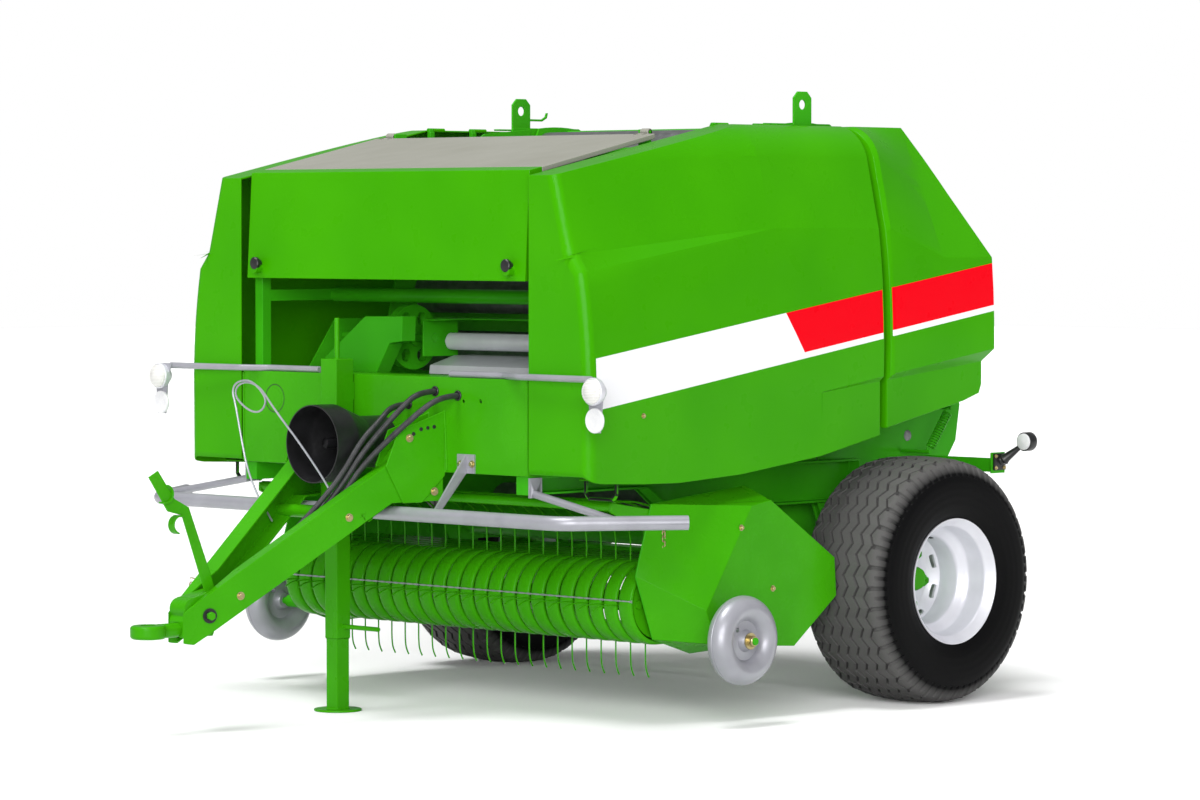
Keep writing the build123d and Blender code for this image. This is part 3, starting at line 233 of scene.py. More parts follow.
def tyre_rubber():
    """Vulcanised rubber: near black on the moulded wall, and painted lighter grey on the tread as a painted
    sheen.
    """
    material, tree, coords = start_material("vulcanised_rubber")
    kind = "ShaderNodeVectorMath"
    centre = add(tree, kind, {1: (0.0, AXLE_Y, WHEEL_Z)}, {0: coords}, operation="SUBTRACT")
    flat = add(tree, kind, {1: (0.0, 1.0, 1.0)}, {0: centre.outputs[0]}, operation="MULTIPLY")
    radius = add(tree, kind, links={0: flat.outputs[0]}, operation="LENGTH").outputs["Value"]
    ends = {"From Min": WALL_TOP_R, "From Max": TREAD_FOOT_R, "To Min": 0.0, "To Max": 1.0}
    tread = add(tree, "ShaderNodeMapRange", ends, {"Value": radius}).outputs[0]
    # Painted sheen: the tread's grey stands in for its satin sheen, and it is blended half way again to a
    # lighter grey.
    base = blend_colours(tree, tread, COLOURS["tyre_wall"], COLOURS["tyre_tread"])
    sheen_share = add(tree, "ShaderNodeMath", {1: 0.5}, {0: tread}, operation="MULTIPLY").outputs[0]
    base = blend_colours(tree, sheen_share, base, COLOURS["tyre_dust"])
    rings = add(tree, "ShaderNodeMath", {1: RING_WAVES}, {0: radius}, operation="MULTIPLY")
    wave = add(tree, "ShaderNodeMath", links={0: rings.outputs[0]}, operation="SINE")
    grain = bump(tree, noise(tree, coords, 6, 3.0), 0.25)
    skin = bump(tree, wave.outputs[0], 0.35, 0.5, grain)
    shader = add(tree, "ShaderNodeBsdfPrincipled", {"Roughness": 0.55, "Specular IOR Level": 0.10},
                 {"Base Color": base, "Normal": skin})
    return finish_material(material, tree, shader)


def hose_rubber():
    """Extruded hydraulic hose: dull black with a fine cross weave pressed into its skin."""
    material, tree, coords = start_material("wrapped_hydraulic_hose")
    base = blend_colours(tree, spread(tree, noise(tree, coords, 25), 0.0, 1.0), COLOURS["hose"],
                         COLOURS["hose_shade"])
    weave = add(tree, "ShaderNodeTexWave", {"Scale": 1000 / 7.0, "Distortion": 0.6}, {"Vector": coords},
                bands_direction="DIAGONAL")
    skin = bump(tree, weave.outputs[1], 0.3)
    settings = {"Roughness": 0.42, "IOR": 1.5}
    shader = add(tree, "ShaderNodeBsdfPrincipled", settings, {"Base Color": base, "Normal": skin})
    return finish_material(material, tree, shader)


def lamp_glass():
    """Moulded clear lens with pressed rings that catch the light."""
    material, tree, coords = start_material("moulded_lens_polycarbonate")
    ring = add(tree, "ShaderNodeTexWave", {"Scale": 1000 / 16.0}, {"Vector": coords}, bands_direction="Z")
    base = blend_colours(tree, ring.outputs[1], COLOURS["lens"], COLOURS["lens_shade"])
    skin = bump(tree, ring.outputs[1], 0.8)
    shader = add(tree, "ShaderNodeBsdfPrincipled",
                 {"Roughness": 0.12, "IOR": 1.58, "Coat Weight": 0.5}, {"Base Color": base, "Normal": skin})
    return finish_material(material, tree, shader)


COLOURS = {
    "paint": "#3fa209", "paint_shade": "#389805",
    # chassis is the paint's enamel painted lighter, as painted light on the shaded frame
    "chassis": "#3cab14", "chassis_shade": "#339e10",
    "cover": "#3ea100", "cover_shade": "#389900",
    "stripe_white": "#f2f2f5", "stripe_red": "#ee0017",
    "silver": "#e2e2e9", "silver_shade": "#d8d8df",
    "steel": "#b4b7bd", "steel_shade": "#a4a7ae",
    "sheet": "#9c9c92", "sheet_shade": "#949489",
    "black": "#19191a", "black_shade": "#222224",
    # tyre_tread and the tread's sheen colour are painted sheen on the black rubber
    "tyre_wall": "#070708", "tyre_tread": "#525151", "tyre_dust": "#585756",
    "zinc": "#c8b98a", "zinc_shade": "#b3a478",
    "worn_steel": "#8d8f90", "worn_shade": "#77797a",
    "chrome": "#d9dade", "chrome_shade": "#cfd0d4",
    "lens_red": "#b3141c", "lens_red_shade": "#8f0f16",
    "white": "#e9e9ea", "white_shade": "#dfdfe2",
    "lens": "#f4f3f0", "lens_shade": "#d6d5d0",
    "hose": "#3a3a3d", "hose_shade": "#28282a",
    # pressed is the silver lacquer painted darker, as painted shade
    "pressed": "#a7a7af", "pressed_shade": "#9c9ca4",
}

MATERIALS = {}


def make_materials():
    """Makes every finish once, by the name that the pieces ask for."""
    gloss = {"Coat Weight": 0.04, "Coat Roughness": 0.08, "Specular IOR Level": 0.09}
    c = COLOURS
    MATERIALS.update({
        # Two-pack enamel sprayed on steel: glossy, with a faint orange peel
        "paint": coated("sprayed_enamel", c["paint"], c["paint_shade"], (0.24, 0.34), gloss, 9, 0.06),
        # The same enamel on the frame, a little duller, and painted lighter than the paint: painted light
        # that lifts the frame where it stands in less light
        "chassis": coated("frame_enamel", c["chassis"], c["chassis_shade"], (0.32, 0.45), gloss, 9, 0.08),
        "cover": cover_plastic(),
        # Aluminium-pigment lacquer: bright and even, with a soft metal sheen; on the feed roller and the
        # guide sheet it stands in for their galvanised grey as painted light where they lie in shade
        "silver": coated("aluminium_lacquer", c["silver"], c["silver_shade"], (0.34, 0.44),
                         {"Metallic": 0.25, "Coat Weight": 0.25, "Coat Roughness": 0.2}, 3, 0.03, 90),
        # The same lacquer on pressed sheet, painted darker grey as painted shade, and used so on the guard
        # bar and the lamp arms too
        "pressed": coated("lacquered_pressed_sheet", c["pressed"], c["pressed_shade"], (0.34, 0.44),
                          {"Metallic": 0.3, "Coat Weight": 0.2, "Coat Roughness": 0.2}, 3, 0.03, 90),
        # Hot-dip galvanised steel: grey with faint cloudy spangle
        "galvanised": coated("hot_dip_galvanised_steel", c["steel"], c["steel_shade"], (0.34, 0.5),
                             {"Metallic": 0.45}, 5, 0.05, 30),
        # Textured warm grey sheet over the binder, dull
        "sheet": coated("grey_coated_sheet", c["sheet"], c["sheet_shade"], (0.5, 0.6),
                        {"IOR": 1.48}, 2.5, 0.08, 300),
        # Injection-moulded black polypropylene with a satin skin
        "plastic": coated("moulded_polypropylene", c["black"], c["black_shade"], (0.3, 0.42),
                          {"IOR": 1.49}, 1.5, 0.04, 60),
        # Black enamel on the cylinders, the drive shaft and the covers' handles
        "black": coated("black_enamel", c["black"], c["black_shade"], (0.28, 0.4), gloss, 6, 0.05, 80),
        # Yellow-chromated zinc on bolts
        "zinc": coated("chromated_zinc", c["zinc"], c["zinc_shade"], (0.25, 0.4),
                       {"Metallic": 0.9}, 4, 0.03, 12),
        # Bare rolled steel on the chamber's rollers: grey, with a blurred sheen
        "worn_steel": coated("rolled_steel", c["worn_steel"], c["worn_shade"], (0.35, 0.5),
                             {"Metallic": 0.9}, 4, 0.06, 40),
        # Hard-chromed and ground rod
        "chrome": coated("hard_chrome", c["chrome"], c["chrome_shade"], (0.08, 0.14),
                         {"Metallic": 1.0}, 2, 0.01, 20),
        # Moulded red polycarbonate: glossy, with fine pressed ribs
        "lens_red": coated("red_lens_polycarbonate", c["lens_red"], c["lens_red_shade"], (0.1, 0.16),
                           {"IOR": 1.58}, 3, 0.2, 20),
        # White reflector of moulded prisms: bright, with a fine sparkle
        "white": coated("prismatic_reflector", c["white"], c["white_shade"], (0.2, 0.3),
                        {"IOR": 1.5}, 4, 0.15, 20),
        "tyre": tyre_rubber(),
        "hose": hose_rubber(),
        "lens": lamp_glass(),
    })


# Modelling helpers

SHARP = 30.0      # degrees: an edge that turns by more is rounded
FLAT = 1.2        # degrees: faces that turn by less are one flat face
SMOOTH = 32.0     # degrees: up to this a rounded panel shades smooth


def activate(obj):
    """Selects one object alone and makes it the active one."""
    for other in bpy.context.selected_objects:
        other.select_set(False)
    obj.select_set(True)
    bpy.context.view_layer.objects.active = obj
    return obj


def edit(obj, kind="FACE"):
    """Opens a piece in edit mode with all of it selected."""
    activate(obj)
    bpy.ops.object.mode_set(mode="EDIT")
    bpy.ops.mesh.select_mode(type=kind)
    bpy.ops.mesh.select_all(action="SELECT")


def leave():
    """Goes back to object mode."""
    bpy.ops.object.mode_set(mode="OBJECT")


def new_mesh(name, points, faces=(), edges=()):
    """An outline or a sheet given by its few corners, as a start for edit mode."""
    mesh = bpy.data.meshes.new(name)
    mesh.from_pydata([tuple(p) for p in points], list(edges), list(faces))
    obj = bpy.data.objects.new(name, mesh)
    bpy.context.scene.collection.objects.link(obj)
    return activate(obj)


def bevelled(obj, width, segments=2):
    """Rounds a piece's sharp edges."""
    activate(obj)
    mod = obj.modifiers.new("edge", "BEVEL")
    mod.width = width
    mod.segments = segments
    mod.limit_method = "ANGLE"
    mod.angle_limit = radians(SHARP)
    mod.use_clamp_overlap = False
    bpy.ops.object.modifier_apply(modifier=mod.name)
    return obj


def finish_piece(obj, name, body, material, smooth=35):
    """Names a piece, brings its place into its mesh, and gives it its finish and its body."""
    activate(obj)
    bpy.ops.object.transform_apply(location=True, rotation=True, scale=True)
    obj.name = name
    obj.data.name = name
    obj.data.materials.clear()
    obj.data.materials.append(MATERIALS[material])
    if obj.type == "MESH" and smooth:
        bpy.ops.object.shade_smooth_by_angle(angle=radians(smooth))
    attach(obj, body)
    return obj


def joined(parts):
    """Joins objects into the first one."""
    activate(parts[0])
    for part in parts[1:]:
        part.select_set(True)
    if len(parts) > 1:
        bpy.ops.object.join()
    return parts[0]


def extruded(name, outline, step):
    """A plate: a flat outline pulled along a vector."""
    obj = new_mesh(name, outline, [tuple(range(len(outline)))])
    edit(obj)
    bpy.ops.mesh.extrude_region_move(TRANSFORM_OT_translate={"value": tuple(step)})
    bpy.ops.mesh.select_all(action="SELECT")
    bpy.ops.mesh.normals_make_consistent(inside=False)
    leave()
    return obj


def turned(name, profile, centre, axis, steps=48, closed=False):
    """A turned piece: profile is (distance along the axis, radius), spun about the axis through centre."""
    axis = Vector(axis).normalized()
    side = axis.orthogonal().normalized()
    points = [Vector(centre) + axis * a + side * r for a, r in profile]
    edges = [(i, i + 1) for i in range(len(points) - 1)]
    if closed:
        edges.append((len(points) - 1, 0))
    obj = new_mesh(name, points, edges=edges)
    edit(obj, "VERT")
    bpy.ops.mesh.spin(steps=steps, angle=2 * pi, center=tuple(centre), axis=tuple(axis))
    bpy.ops.mesh.select_all(action="SELECT")
    bpy.ops.mesh.remove_doubles(threshold=1e-5)
    bpy.ops.mesh.normals_make_consistent(inside=False)
    leave()
    return obj


def bar(name, points, radius, sides=10, bend=0.0):
    """A bent round bar along points, with its ends closed."""
    curve = bpy.data.curves.new(name, "CURVE")
    curve.dimensions = "3D"
    curve.bevel_depth = radius
    curve.bevel_resolution = max(1, sides // 4 - 1)
    curve.use_fill_caps = True
    spline = curve.splines.new("POLY" if not bend else "NURBS")
    spline.points.add(len(points) - 1)
    for point, spot in zip(spline.points, points):
        point.co = (*spot, 1.0)
    if bend:
        spline.order_u = 3
        spline.use_endpoint_u = True
        spline.resolution_u = 8
    obj = bpy.data.objects.new(name, curve)
    bpy.context.scene.collection.objects.link(obj)
    activate(obj)
    bpy.ops.object.convert(target="MESH")
    return bpy.context.view_layer.objects.active


def row(obj, count, step):
    """Repeats a piece count times, each step further on."""
    activate(obj)
    mod = obj.modifiers.new("row", "ARRAY")
    mod.count = count
    mod.use_relative_offset = False
    mod.use_constant_offset = True
    mod.constant_offset_displace = step
    bpy.ops.object.modifier_apply(modifier=mod.name)
    return obj


def turned_about(centre, angle):
    """A turn by angle about the line through centre along the machine's width."""
    return Matrix.Translation(centre) @ Matrix.Rotation(angle, 4, "X") @ Matrix.Translation(-centre)


def around(obj, count, centre):
    """Repeats a piece count times about the line through centre along the machine's width."""
    parts = [obj]
    for i in range(1, count):
        twin = obj.copy()
        twin.data = obj.data.copy()
        bpy.context.scene.collection.objects.link(twin)
        twin.data.transform(turned_about(centre, 2 * pi * i / count))
        parts.append(twin)
    return joined(parts)


def arc(start, middle, end, steps):
    """Points on the arc through three points of a plane, without its start."""
    (ax, ay), (bx, by), (cx, cy) = start, middle, end
    d = 2 * (ax * (by - cy) + bx * (cy - ay) + cx * (ay - by))
    aa, bb, cc = ax * ax + ay * ay, bx * bx + by * by, cx * cx + cy * cy
    ux = (aa * (by - cy) + bb * (cy - ay) + cc * (ay - by)) / d
    uy = (aa * (cx - bx) + bb * (ax - cx) + cc * (bx - ax)) / d
    a, b, c = [atan2(y - uy, x - ux) for x, y in (start, middle, end)]
    turn = (c - a) % (2 * pi)
    if (b - a) % (2 * pi) > turn:
        turn -= 2 * pi
    r = hypot(ax - ux, ay - uy)
    angles = [a + turn * i / steps for i in range(1, steps + 1)]
    return [(ux + r * cos(angle), uy + r * sin(angle)) for angle in angles]


def bolt(spot, direction, size, washer=True):
    """A hexagon head with its washer, standing on a face."""
    direction = Vector(direction).normalized()
    turn = direction.to_track_quat("Z", "Y").to_euler()
    discs = [(6, 0.56, 0.62, 0.38), (20, 0.82, 0.14, 0.06)]   # sides; radius, depth and middle in sizes
    if not washer:
        discs.pop()
    parts = []
    for sides, radius, depth, out in discs:
        bpy.ops.object.select_all(action="DESELECT")
        bpy.ops.mesh.primitive_cylinder_add(vertices=sides, radius=size * radius, depth=size * depth,
                                            location=Vector(spot) + direction * (size * out), rotation=turn)
        parts.append(bpy.context.view_layer.objects.active)
    bevelled(parts[0], size * 0.06, 1)
    return joined(parts)


def dress(node, material, rounding):
    """Stands in for a CAD node with its edges rounded as the pressed or welded piece has them."""
    source = NODES[node]
    obj = source.copy()
    obj.data = source.data.copy()
    obj.parent = None
    for key in list(obj.keys()):
        del obj[key]
    bpy.context.scene.collection.objects.link(obj)
    edit(obj)
    bpy.ops.mesh.remove_doubles(threshold=2e-5)
    if rounding:
        bpy.ops.mesh.dissolve_limited(angle_limit=radians(FLAT))
    leave()
    if rounding:
        bevelled(obj, rounding * MM)
    finish_piece(obj, node + "_finished", BODY_OF[node], material, SMOOTH)
    activate(obj)
    even = obj.modifiers.new("even", "WEIGHTED_NORMAL")
    even.keep_sharp = True
    bpy.ops.object.modifier_apply(modifier=even.name)
    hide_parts(node)


# Sizes and colours that a user may change

class BalerTyreSettings(PropertyGroup):
    """Sizes of the road tyres' tread."""

    waves: IntProperty(name="Tread waves", description="Zigzag waves round one tyre",
                       default=36, min=24, max=72)
    groove_depth: FloatProperty(name="Groove depth", description="Depth of the tread's grooves",
                                default=0.012, min=0.002, max=0.02, subtype="DISTANCE", unit="LENGTH")
    groove_width: FloatProperty(name="Groove width", description="Width of the tread's grooves at the top",
                                default=0.012, min=0.003, max=0.02, subtype="DISTANCE", unit="LENGTH")
    zigzag: FloatProperty(name="Zigzag", description="How far the grooves swing to each side",
                          default=0.011, min=0.0, max=0.02, subtype="DISTANCE", unit="LENGTH")
    notch_depth: FloatProperty(name="Notch depth", description="Depth of the notches in the shoulders",
                               default=0.010, min=0.0, max=0.02, subtype="DISTANCE", unit="LENGTH")


class BalerStageSettings(PropertyGroup):
    """Colour and light of the studio."""

    floor_colour: FloatVectorProperty(name="Floor colour", description="Colour of the studio floor",
                                      default=(0.9, 0.9, 0.9), min=0.0, max=1.0, subtype="COLOR")
    ambient: FloatProperty(name="Ambient light", description="Strength of the light from all round",
                           default=0.30)
    key: FloatProperty(name="Key light", description="Strength of the high light from the front",
                       default=2.3)
    fill: FloatProperty(name="Fill light", description="Strength of the low light from beside the camera",
                        default=2.65)


# Tyres

TYRE_R = 0.430
BEAD_R = 0.224
TREAD_HALF = 0.146
GROOVES = (-0.090, -0.045, 0.0, 0.045, 0.090)
WAVE_STEPS = 16
LONG_NOTCH = {0: 0.8, 1: 1.0, 2: 0.8}     # step of a wave: share of the shoulder notch's depth
SHORT_NOTCH = {8: 0.8, 9: 1.0, 10: 0.8}   # these notches reach only half way in
CROWN_DROP = 0.0125                       # how far the crown falls to the tread's edge
EDGE_X = 0.135                            # outermost groove, with its lip and floor
EDGE_STEPS = (0.0, 0.003, 0.007, 0.010)
WALL = [(-0.148, 0.1985, 0), (-0.166, 0.2185, 0), (-0.174, BEAD_R, 0), (-0.178, 0.236, 0),
        (-0.181, 0.240, 0), (-0.1865, 0.268, 0), (-0.1895, 0.300, 0), (-0.190, 0.330, 0),
        (-0.1885, 0.350, 0), (-0.1835, 0.364, 0), (-0.1825, 0.3655, 0), (-0.182, 0.372, 2),
        (-0.177, 0.383, 2), (-0.168, 0.397, 2), (-0.158, 0.409, 3), (-0.150, 0.4155, 3),
        (-0.1405, 0.4185, 3)]             # bead, wall and shoulder, with the kinds of tread_columns


def wheel_centre(side):
    """The middle of a road wheel."""
    return Vector((side * WHEEL_X, AXLE_Y, WHEEL_Z))


def tread_columns(settings):
    """Across the tread: (x, radius, kind), from wall to wall. Kinds: 0 plain, 1 zigzag, 2 and 3 shoulder."""
    half = settings.groove_width / 2
    depth = settings.groove_depth
    columns = list(WALL)

    def crown(x):
        return TYRE_R - CROWN_DROP * (abs(x) / TREAD_HALF) ** 2

    lip, low, high, top = [step - EDGE_X for step in EDGE_STEPS]
    edge = crown(EDGE_X)
    columns += [(lip, edge, 1), (low, edge - depth, 1), (high, edge - depth, 1), (top, edge, 1)]
    middle = len(columns)
    floor = half * 0.55
    for x in GROOVES:
        flat = crown(x)
        columns += [(x - half, flat, 1), (x - floor, flat - depth, 1)]
        columns += [(x + floor, flat - depth, 1), (x + half, flat, 1)]
    return columns + [(-x, r, k) for x, r, k in columns[middle - 1::-1]]


def tyre_skin(name, side, settings):
    """The tyre's skin as rings of columns, with zigzag grooves and notched shoulders."""
    columns = tread_columns(settings)
    steps = settings.waves * WAVE_STEPS
    centre = wheel_centre(side)
    points = []
    for i in range(steps):
        angle = 2 * pi * i / steps
        wave = i % WAVE_STEPS
        long_notch = settings.notch_depth * LONG_NOTCH.get(wave, 0)
        either = long_notch + settings.notch_depth * SHORT_NOTCH.get(wave, 0)
        for x, radius, kind in columns:
            if kind == 1:
                x += settings.zigzag * (4 * abs(wave / WAVE_STEPS - 0.5) - 1)
            elif kind == 2:
                radius -= 0.5 * either
                x -= copysign(0.5 * either, x)
            elif kind == 3:
                radius -= long_notch
            points.append(centre + Vector((side * x, radius * cos(angle), radius * sin(angle))))
    n = len(columns)
    faces = []
    for i in range(steps):
        k = (i + 1) % steps
        for j in range(n - 1):
            faces.append((i * n + j, k * n + j, k * n + j + 1, i * n + j + 1))
    obj = new_mesh(name, points, faces)
    edit(obj)
    bpy.ops.mesh.normals_make_consistent(inside=False)
    leave()
    return obj


class BALER_OT_tyres(Operator):
    """Moulds the tread, shoulders and walls of both road tyres"""

    bl_idname = "baler.tyres"
    bl_label = "Tyres"

    def execute(self, context):
        for side, word in ((1, "right"), (-1, "left")):
            skin = tyre_skin("tyre_tread_" + word, side, context.scene.baler_tyre)
            finish_piece(skin, "tyre_tread_" + word, "wheel_" + word, "tyre", 28)
            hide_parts("tyre_" + word)
        return {"FINISHED"}


# Hoses

HOSES = {   # routes in millimetres from the axle, beam first
    "hose_1": [(140, -1589, 1062), (140, -1671, 1062), (162, -1750, 1010), (152, -1822, 949),
               (138, -1902, 830), (110, -1982, 734), (92, -2070, 652), (90, -2158, 588), (78, -2246, 532)],
    "hose_2": [(272, -1589, 1109), (272, -1671, 1109), (268, -1750, 1057), (164, -1822, 915),
               (138, -1902, 796), (110, -1982, 700), (92, -2070, 618), (90, -2158, 554), (78, -2246, 498)],
    "hose_3": [(383, -1589, 1097), (383, -1671, 1097), (353, -1750, 1045), (176, -1822, 881),
               (138, -1902, 762), (110, -1982, 666), (92, -2070, 584), (90, -2158, 520), (78, -2246, 464)],
}
HOSE_R = 0.010


def coupler(name, start, direction):
    """A push-in hydraulic coupler with its collar, on a hose's end."""
    profile = [(0, 0.0), (0, 0.012), (0.012, 0.013), (0.013, 0.0115), (0.022, 0.0115), (0.023, 0.013),
               (0.040, 0.013), (0.042, 0.009), (0.051, 0.009), (0.051, 0.0)]
    return turned(name, profile, start, direction, 24)


class BALER_OT_hoses(Operator):
    """Lays the three hydraulic hoses from the front beam down to their couplers"""

    bl_idname = "baler.hoses"
    bl_label = "Hydraulic hoses"

    def execute(self, context):
        for name, route in HOSES.items():
            curve = bpy.data.curves.new(name + "_line", "CURVE")
            curve.dimensions = "3D"
            curve.bevel_depth = HOSE_R
            curve.bevel_resolution = 3
            curve.use_fill_caps = True
            spline = curve.splines.new("NURBS")
            spline.points.add(len(route) - 1)
            places = [place(*spot) for spot in route]
            for point, spot in zip(spline.points, places):
                point.co = (*spot, 1.0)
            spline.order_u = 3
            spline.use_endpoint_u = True
            spline.resolution_u = 12
            line = bpy.data.objects.new(name + "_line", curve)
            bpy.context.scene.collection.objects.link(line)
            curve.materials.append(MATERIALS["hose"])
            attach(line, "machine")
            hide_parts(name)
            end = coupler(name + "_coupler", places[-1], places[-1] - places[-2])
            finish_piece(end, name + "_coupler", "machine", "zinc", 30)
            if name == "hose_1":
                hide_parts("hose_couplers")
        return {"FINISHED"}


# Rims, gauge wheels, wheel nuts and valves

DISH_X = -62.0            # outer face of the rim's dish, in millimetres from the tyre's middle
STUD_RING = 102.0
STUD_TURN = 52.0
STUD_COUNT = 6
NUT = 0.027
VALVE = [(0, 0), (0, 0.007), (0.006, 0.007), (0.010, 0.004), (0.034, 0.004), (0.035, 0.0055),
         (0.046, 0.005), (0.047, 0)]
VALVE_FOOT = (0.040, 0.054, 0.140)   # out, along and up from the hub
GAUGE_NUT = 0.034                    # its size, and how far out it stands
GAUGE_BOSS = [(34, 12.6), (34, 25), (31, 28), (12, 37), (10, 41), (10, 66)]
GAUGE_RIM = [(10, 66), (35, 82), (46, 106), (33, 135), (3, 149.5)]
GAUGE_SEAM = [(1.2, 148.2), (0.6, 146.8)]
GAUGE_HOLE = (0.0, -34.0, 37.0)      # drilled hole, from the wheel's middle
GAUGE_HOLE_R = 0.0085
RIM_SECTION = [   # (x from the tyre's middle, radius): lip, flange, seat and well, and back again outside
    (176, 219), (176, 216), (173, 213), (160, 204), (151, 196), (147, 192), (140, 190.5), (112, 190.5),
    (104, 188), (84, 187), (76, 184), (68, 176), (58, 160), (52, 155), (45, 153), (-45, 153), (-57, 159),
    (-70, 182), (-84, 190), (-140, 191), (-170, 214), (-176, 217), (-176, 220), (-168, 219), (-146, 197),
    (-74, 197), (-52, 160), (52, 160), (74, 197), (146, 197), (168, 218), (173, 220)]
DISH_SECTION = [(-62, 58), (-62, 112), (-58, 119), (-34, 144), (-28, 153), (-38, 153), (-44, 144),
                (-68, 119), (-72, 112), (-72, 58)]
SLOT = (52.0, 13.0, 138.0)           # length, width and radius of the hand slots in the dish
SLOT_REACH = (-45.0, 70.0)           # middle and depth of the slot's cut through the dish
SLOT_COUNT = 8


def cut_out(obj, cutter):
    """Takes the cutter's form out of a piece and deletes the cutter."""
    activate(obj)
    mod = obj.modifiers.new("cut", "BOOLEAN")
    mod.operation = "DIFFERENCE"
    mod.object = cutter
    bpy.ops.object.modifier_apply(modifier=mod.name)
    bpy.data.objects.remove(cutter)
    return obj


def rim(name, side):
    """The rolled barrel with its flared lips and the pressed dish with its hand slots."""
    centre = wheel_centre(side)
    barrel, dish = [turned(name, [(a * MM, r * MM) for a, r in section], centre, (side, 0, 0), 96, True)
                    for section in (RIM_SECTION, DISH_SECTION)]
    length, width, ring = SLOT
    middle, depth = SLOT_REACH
    bpy.ops.object.select_all(action="DESELECT")
    bpy.ops.mesh.primitive_cube_add(size=MM, location=centre + Vector((side * middle, 0, ring)) * MM)
    cutter = bpy.context.view_layer.objects.active
    cutter.scale = (depth, length, width)
    bpy.ops.object.transform_apply(location=True, rotation=True, scale=True)
    bevelled(cutter, width * 0.45 * MM, 4)
    cutters = around(cutter, SLOT_COUNT, centre)
    cutters.data.transform(turned_about(centre, pi / SLOT_COUNT))
    return joined([barrel, cut_out(dish, cutters)])


def gauge_profile():
    """(x, radius) round the pressed wheel's section, from its bore over the rim and back to its bore."""
    foot, dish, face, crown, seam = GAUGE_RIM
    half = GAUGE_BOSS + arc(foot, dish, face, 9) + arc(face, crown, seam, 12) + GAUGE_SEAM
    outline = half + [(-x, r) for x, r in reversed(half)]
    return [(x * MM, r * MM) for x, r in outline]


def drilled(obj, centre, axis, radius, depth):
    """Cuts a round hole right through a piece."""
    turn = Vector(axis).to_track_quat("Z", "Y").to_euler()
    bpy.ops.object.select_all(action="DESELECT")
    bpy.ops.mesh.primitive_cylinder_add(vertices=24, radius=radius, depth=depth, location=centre,
                                        rotation=turn)
    return cut_out(obj, bpy.context.view_layer.objects.active)


class BALER_OT_wheels(Operator):
    """Turns the pressed gauge wheels and fits the wheel nuts and valves"""

    bl_idname = "baler.wheels"
    bl_label = "Wheel fittings"

    def execute(self, context):
        for side, word in ((1, "right"), (-1, "left")):
            centre = middle_of("gauge_wheel_" + word)
            wheel = turned("gauge", gauge_profile(), centre, (1, 0, 0), 72, closed=True)
            drilled(wheel, centre + Vector(GAUGE_HOLE) * MM, (1, 0, 0), GAUGE_HOLE_R, 0.2)
            # The gauge wheel takes the lacquer painted darker, a painted shade.
            finish_piece(wheel, "pressed_gauge_wheel_" + word, "gauge_" + word, "pressed", 30)
            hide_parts("gauge_wheel_" + word)
            nut = bolt(centre + Vector((side * GAUGE_NUT, 0, 0)), (side, 0, 0), GAUGE_NUT)
            finish_piece(nut, "gauge_nut_" + word, "pickup", "zinc", 30)

            barrel = rim("rim", side)
            finish_piece(barrel, "rolled_rim_" + word, "wheel_" + word, "silver", 35)
            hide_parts("rim_" + word)
            hub = wheel_centre(side) + Vector((side * DISH_X * MM, 0, 0))
            nuts = []
            for i in range(STUD_COUNT):
                turn = radians(STUD_TURN + 360 / STUD_COUNT * i)
                stud = hub + Vector((0, cos(turn), sin(turn))) * STUD_RING * MM
                nuts.append(bolt(stud, (side, 0, 0), NUT))
            finish_piece(joined(nuts), "wheel_nuts_" + word, "wheel_" + word, "chassis", 30)
            out, along, up = VALVE_FOOT
            valve = turned("valve", VALVE, hub + Vector((side * out, along, up)), (side, 0.04, 0.1), 16)
            finish_piece(valve, "tyre_valve_" + word, "wheel_" + word, "plastic", 30)
        return {"FINISHED"}


# Pickup: stripper bands, tined reel and wind guard

PITCH = 70.0              # millimetres between tines, and between bands
BAND_COUNT = 25
BAND_R = 140.0
BAND_SHEET = 2.5
BAND_BACK = (302.0, 262.0)   # how far the bands run on behind the reel's middle, above and below
BAND_SECTION = [(-30, -12), (-29.5, -6), (-26.5, -2.6), (-15, -0.6), (0, 0), (15, -0.6), (26.5, -2.6),
                (29.5, -6), (30, -12)]
BAND_STEPS = 28
STRAP = 6.0               # thickness of the straps that join the bands
WIRE_SWAY = 3.0           # of each tie wire to one side and the other
TINE_COUNT = 24
TINE_X0 = -(TINE_COUNT - 1) / 2 * PITCH
TINE_R = 0.0027
REEL_BARS = 4
TINE_LINE = [(96, 0), (150, 0), (200, 0), (236, 5), (254, 17)]   # (out from the reel's axis, sideways)
REEL_HALF = 882.0
REEL_DISCS = (-860, -430, 0, 430, 860)
WIND_ROD = [(-1360, 735), (-1240, 752), (-1090, 722), (-985, 668), (-950, 622)]   # (y, z) along one rod
WIND_EAR = [(-1378, 717), (-1378, 749), (-1190, 720), (-1150, 660), (-1195, 640)]
WALL_X = 890.0            # inner face of the pickup's side plates


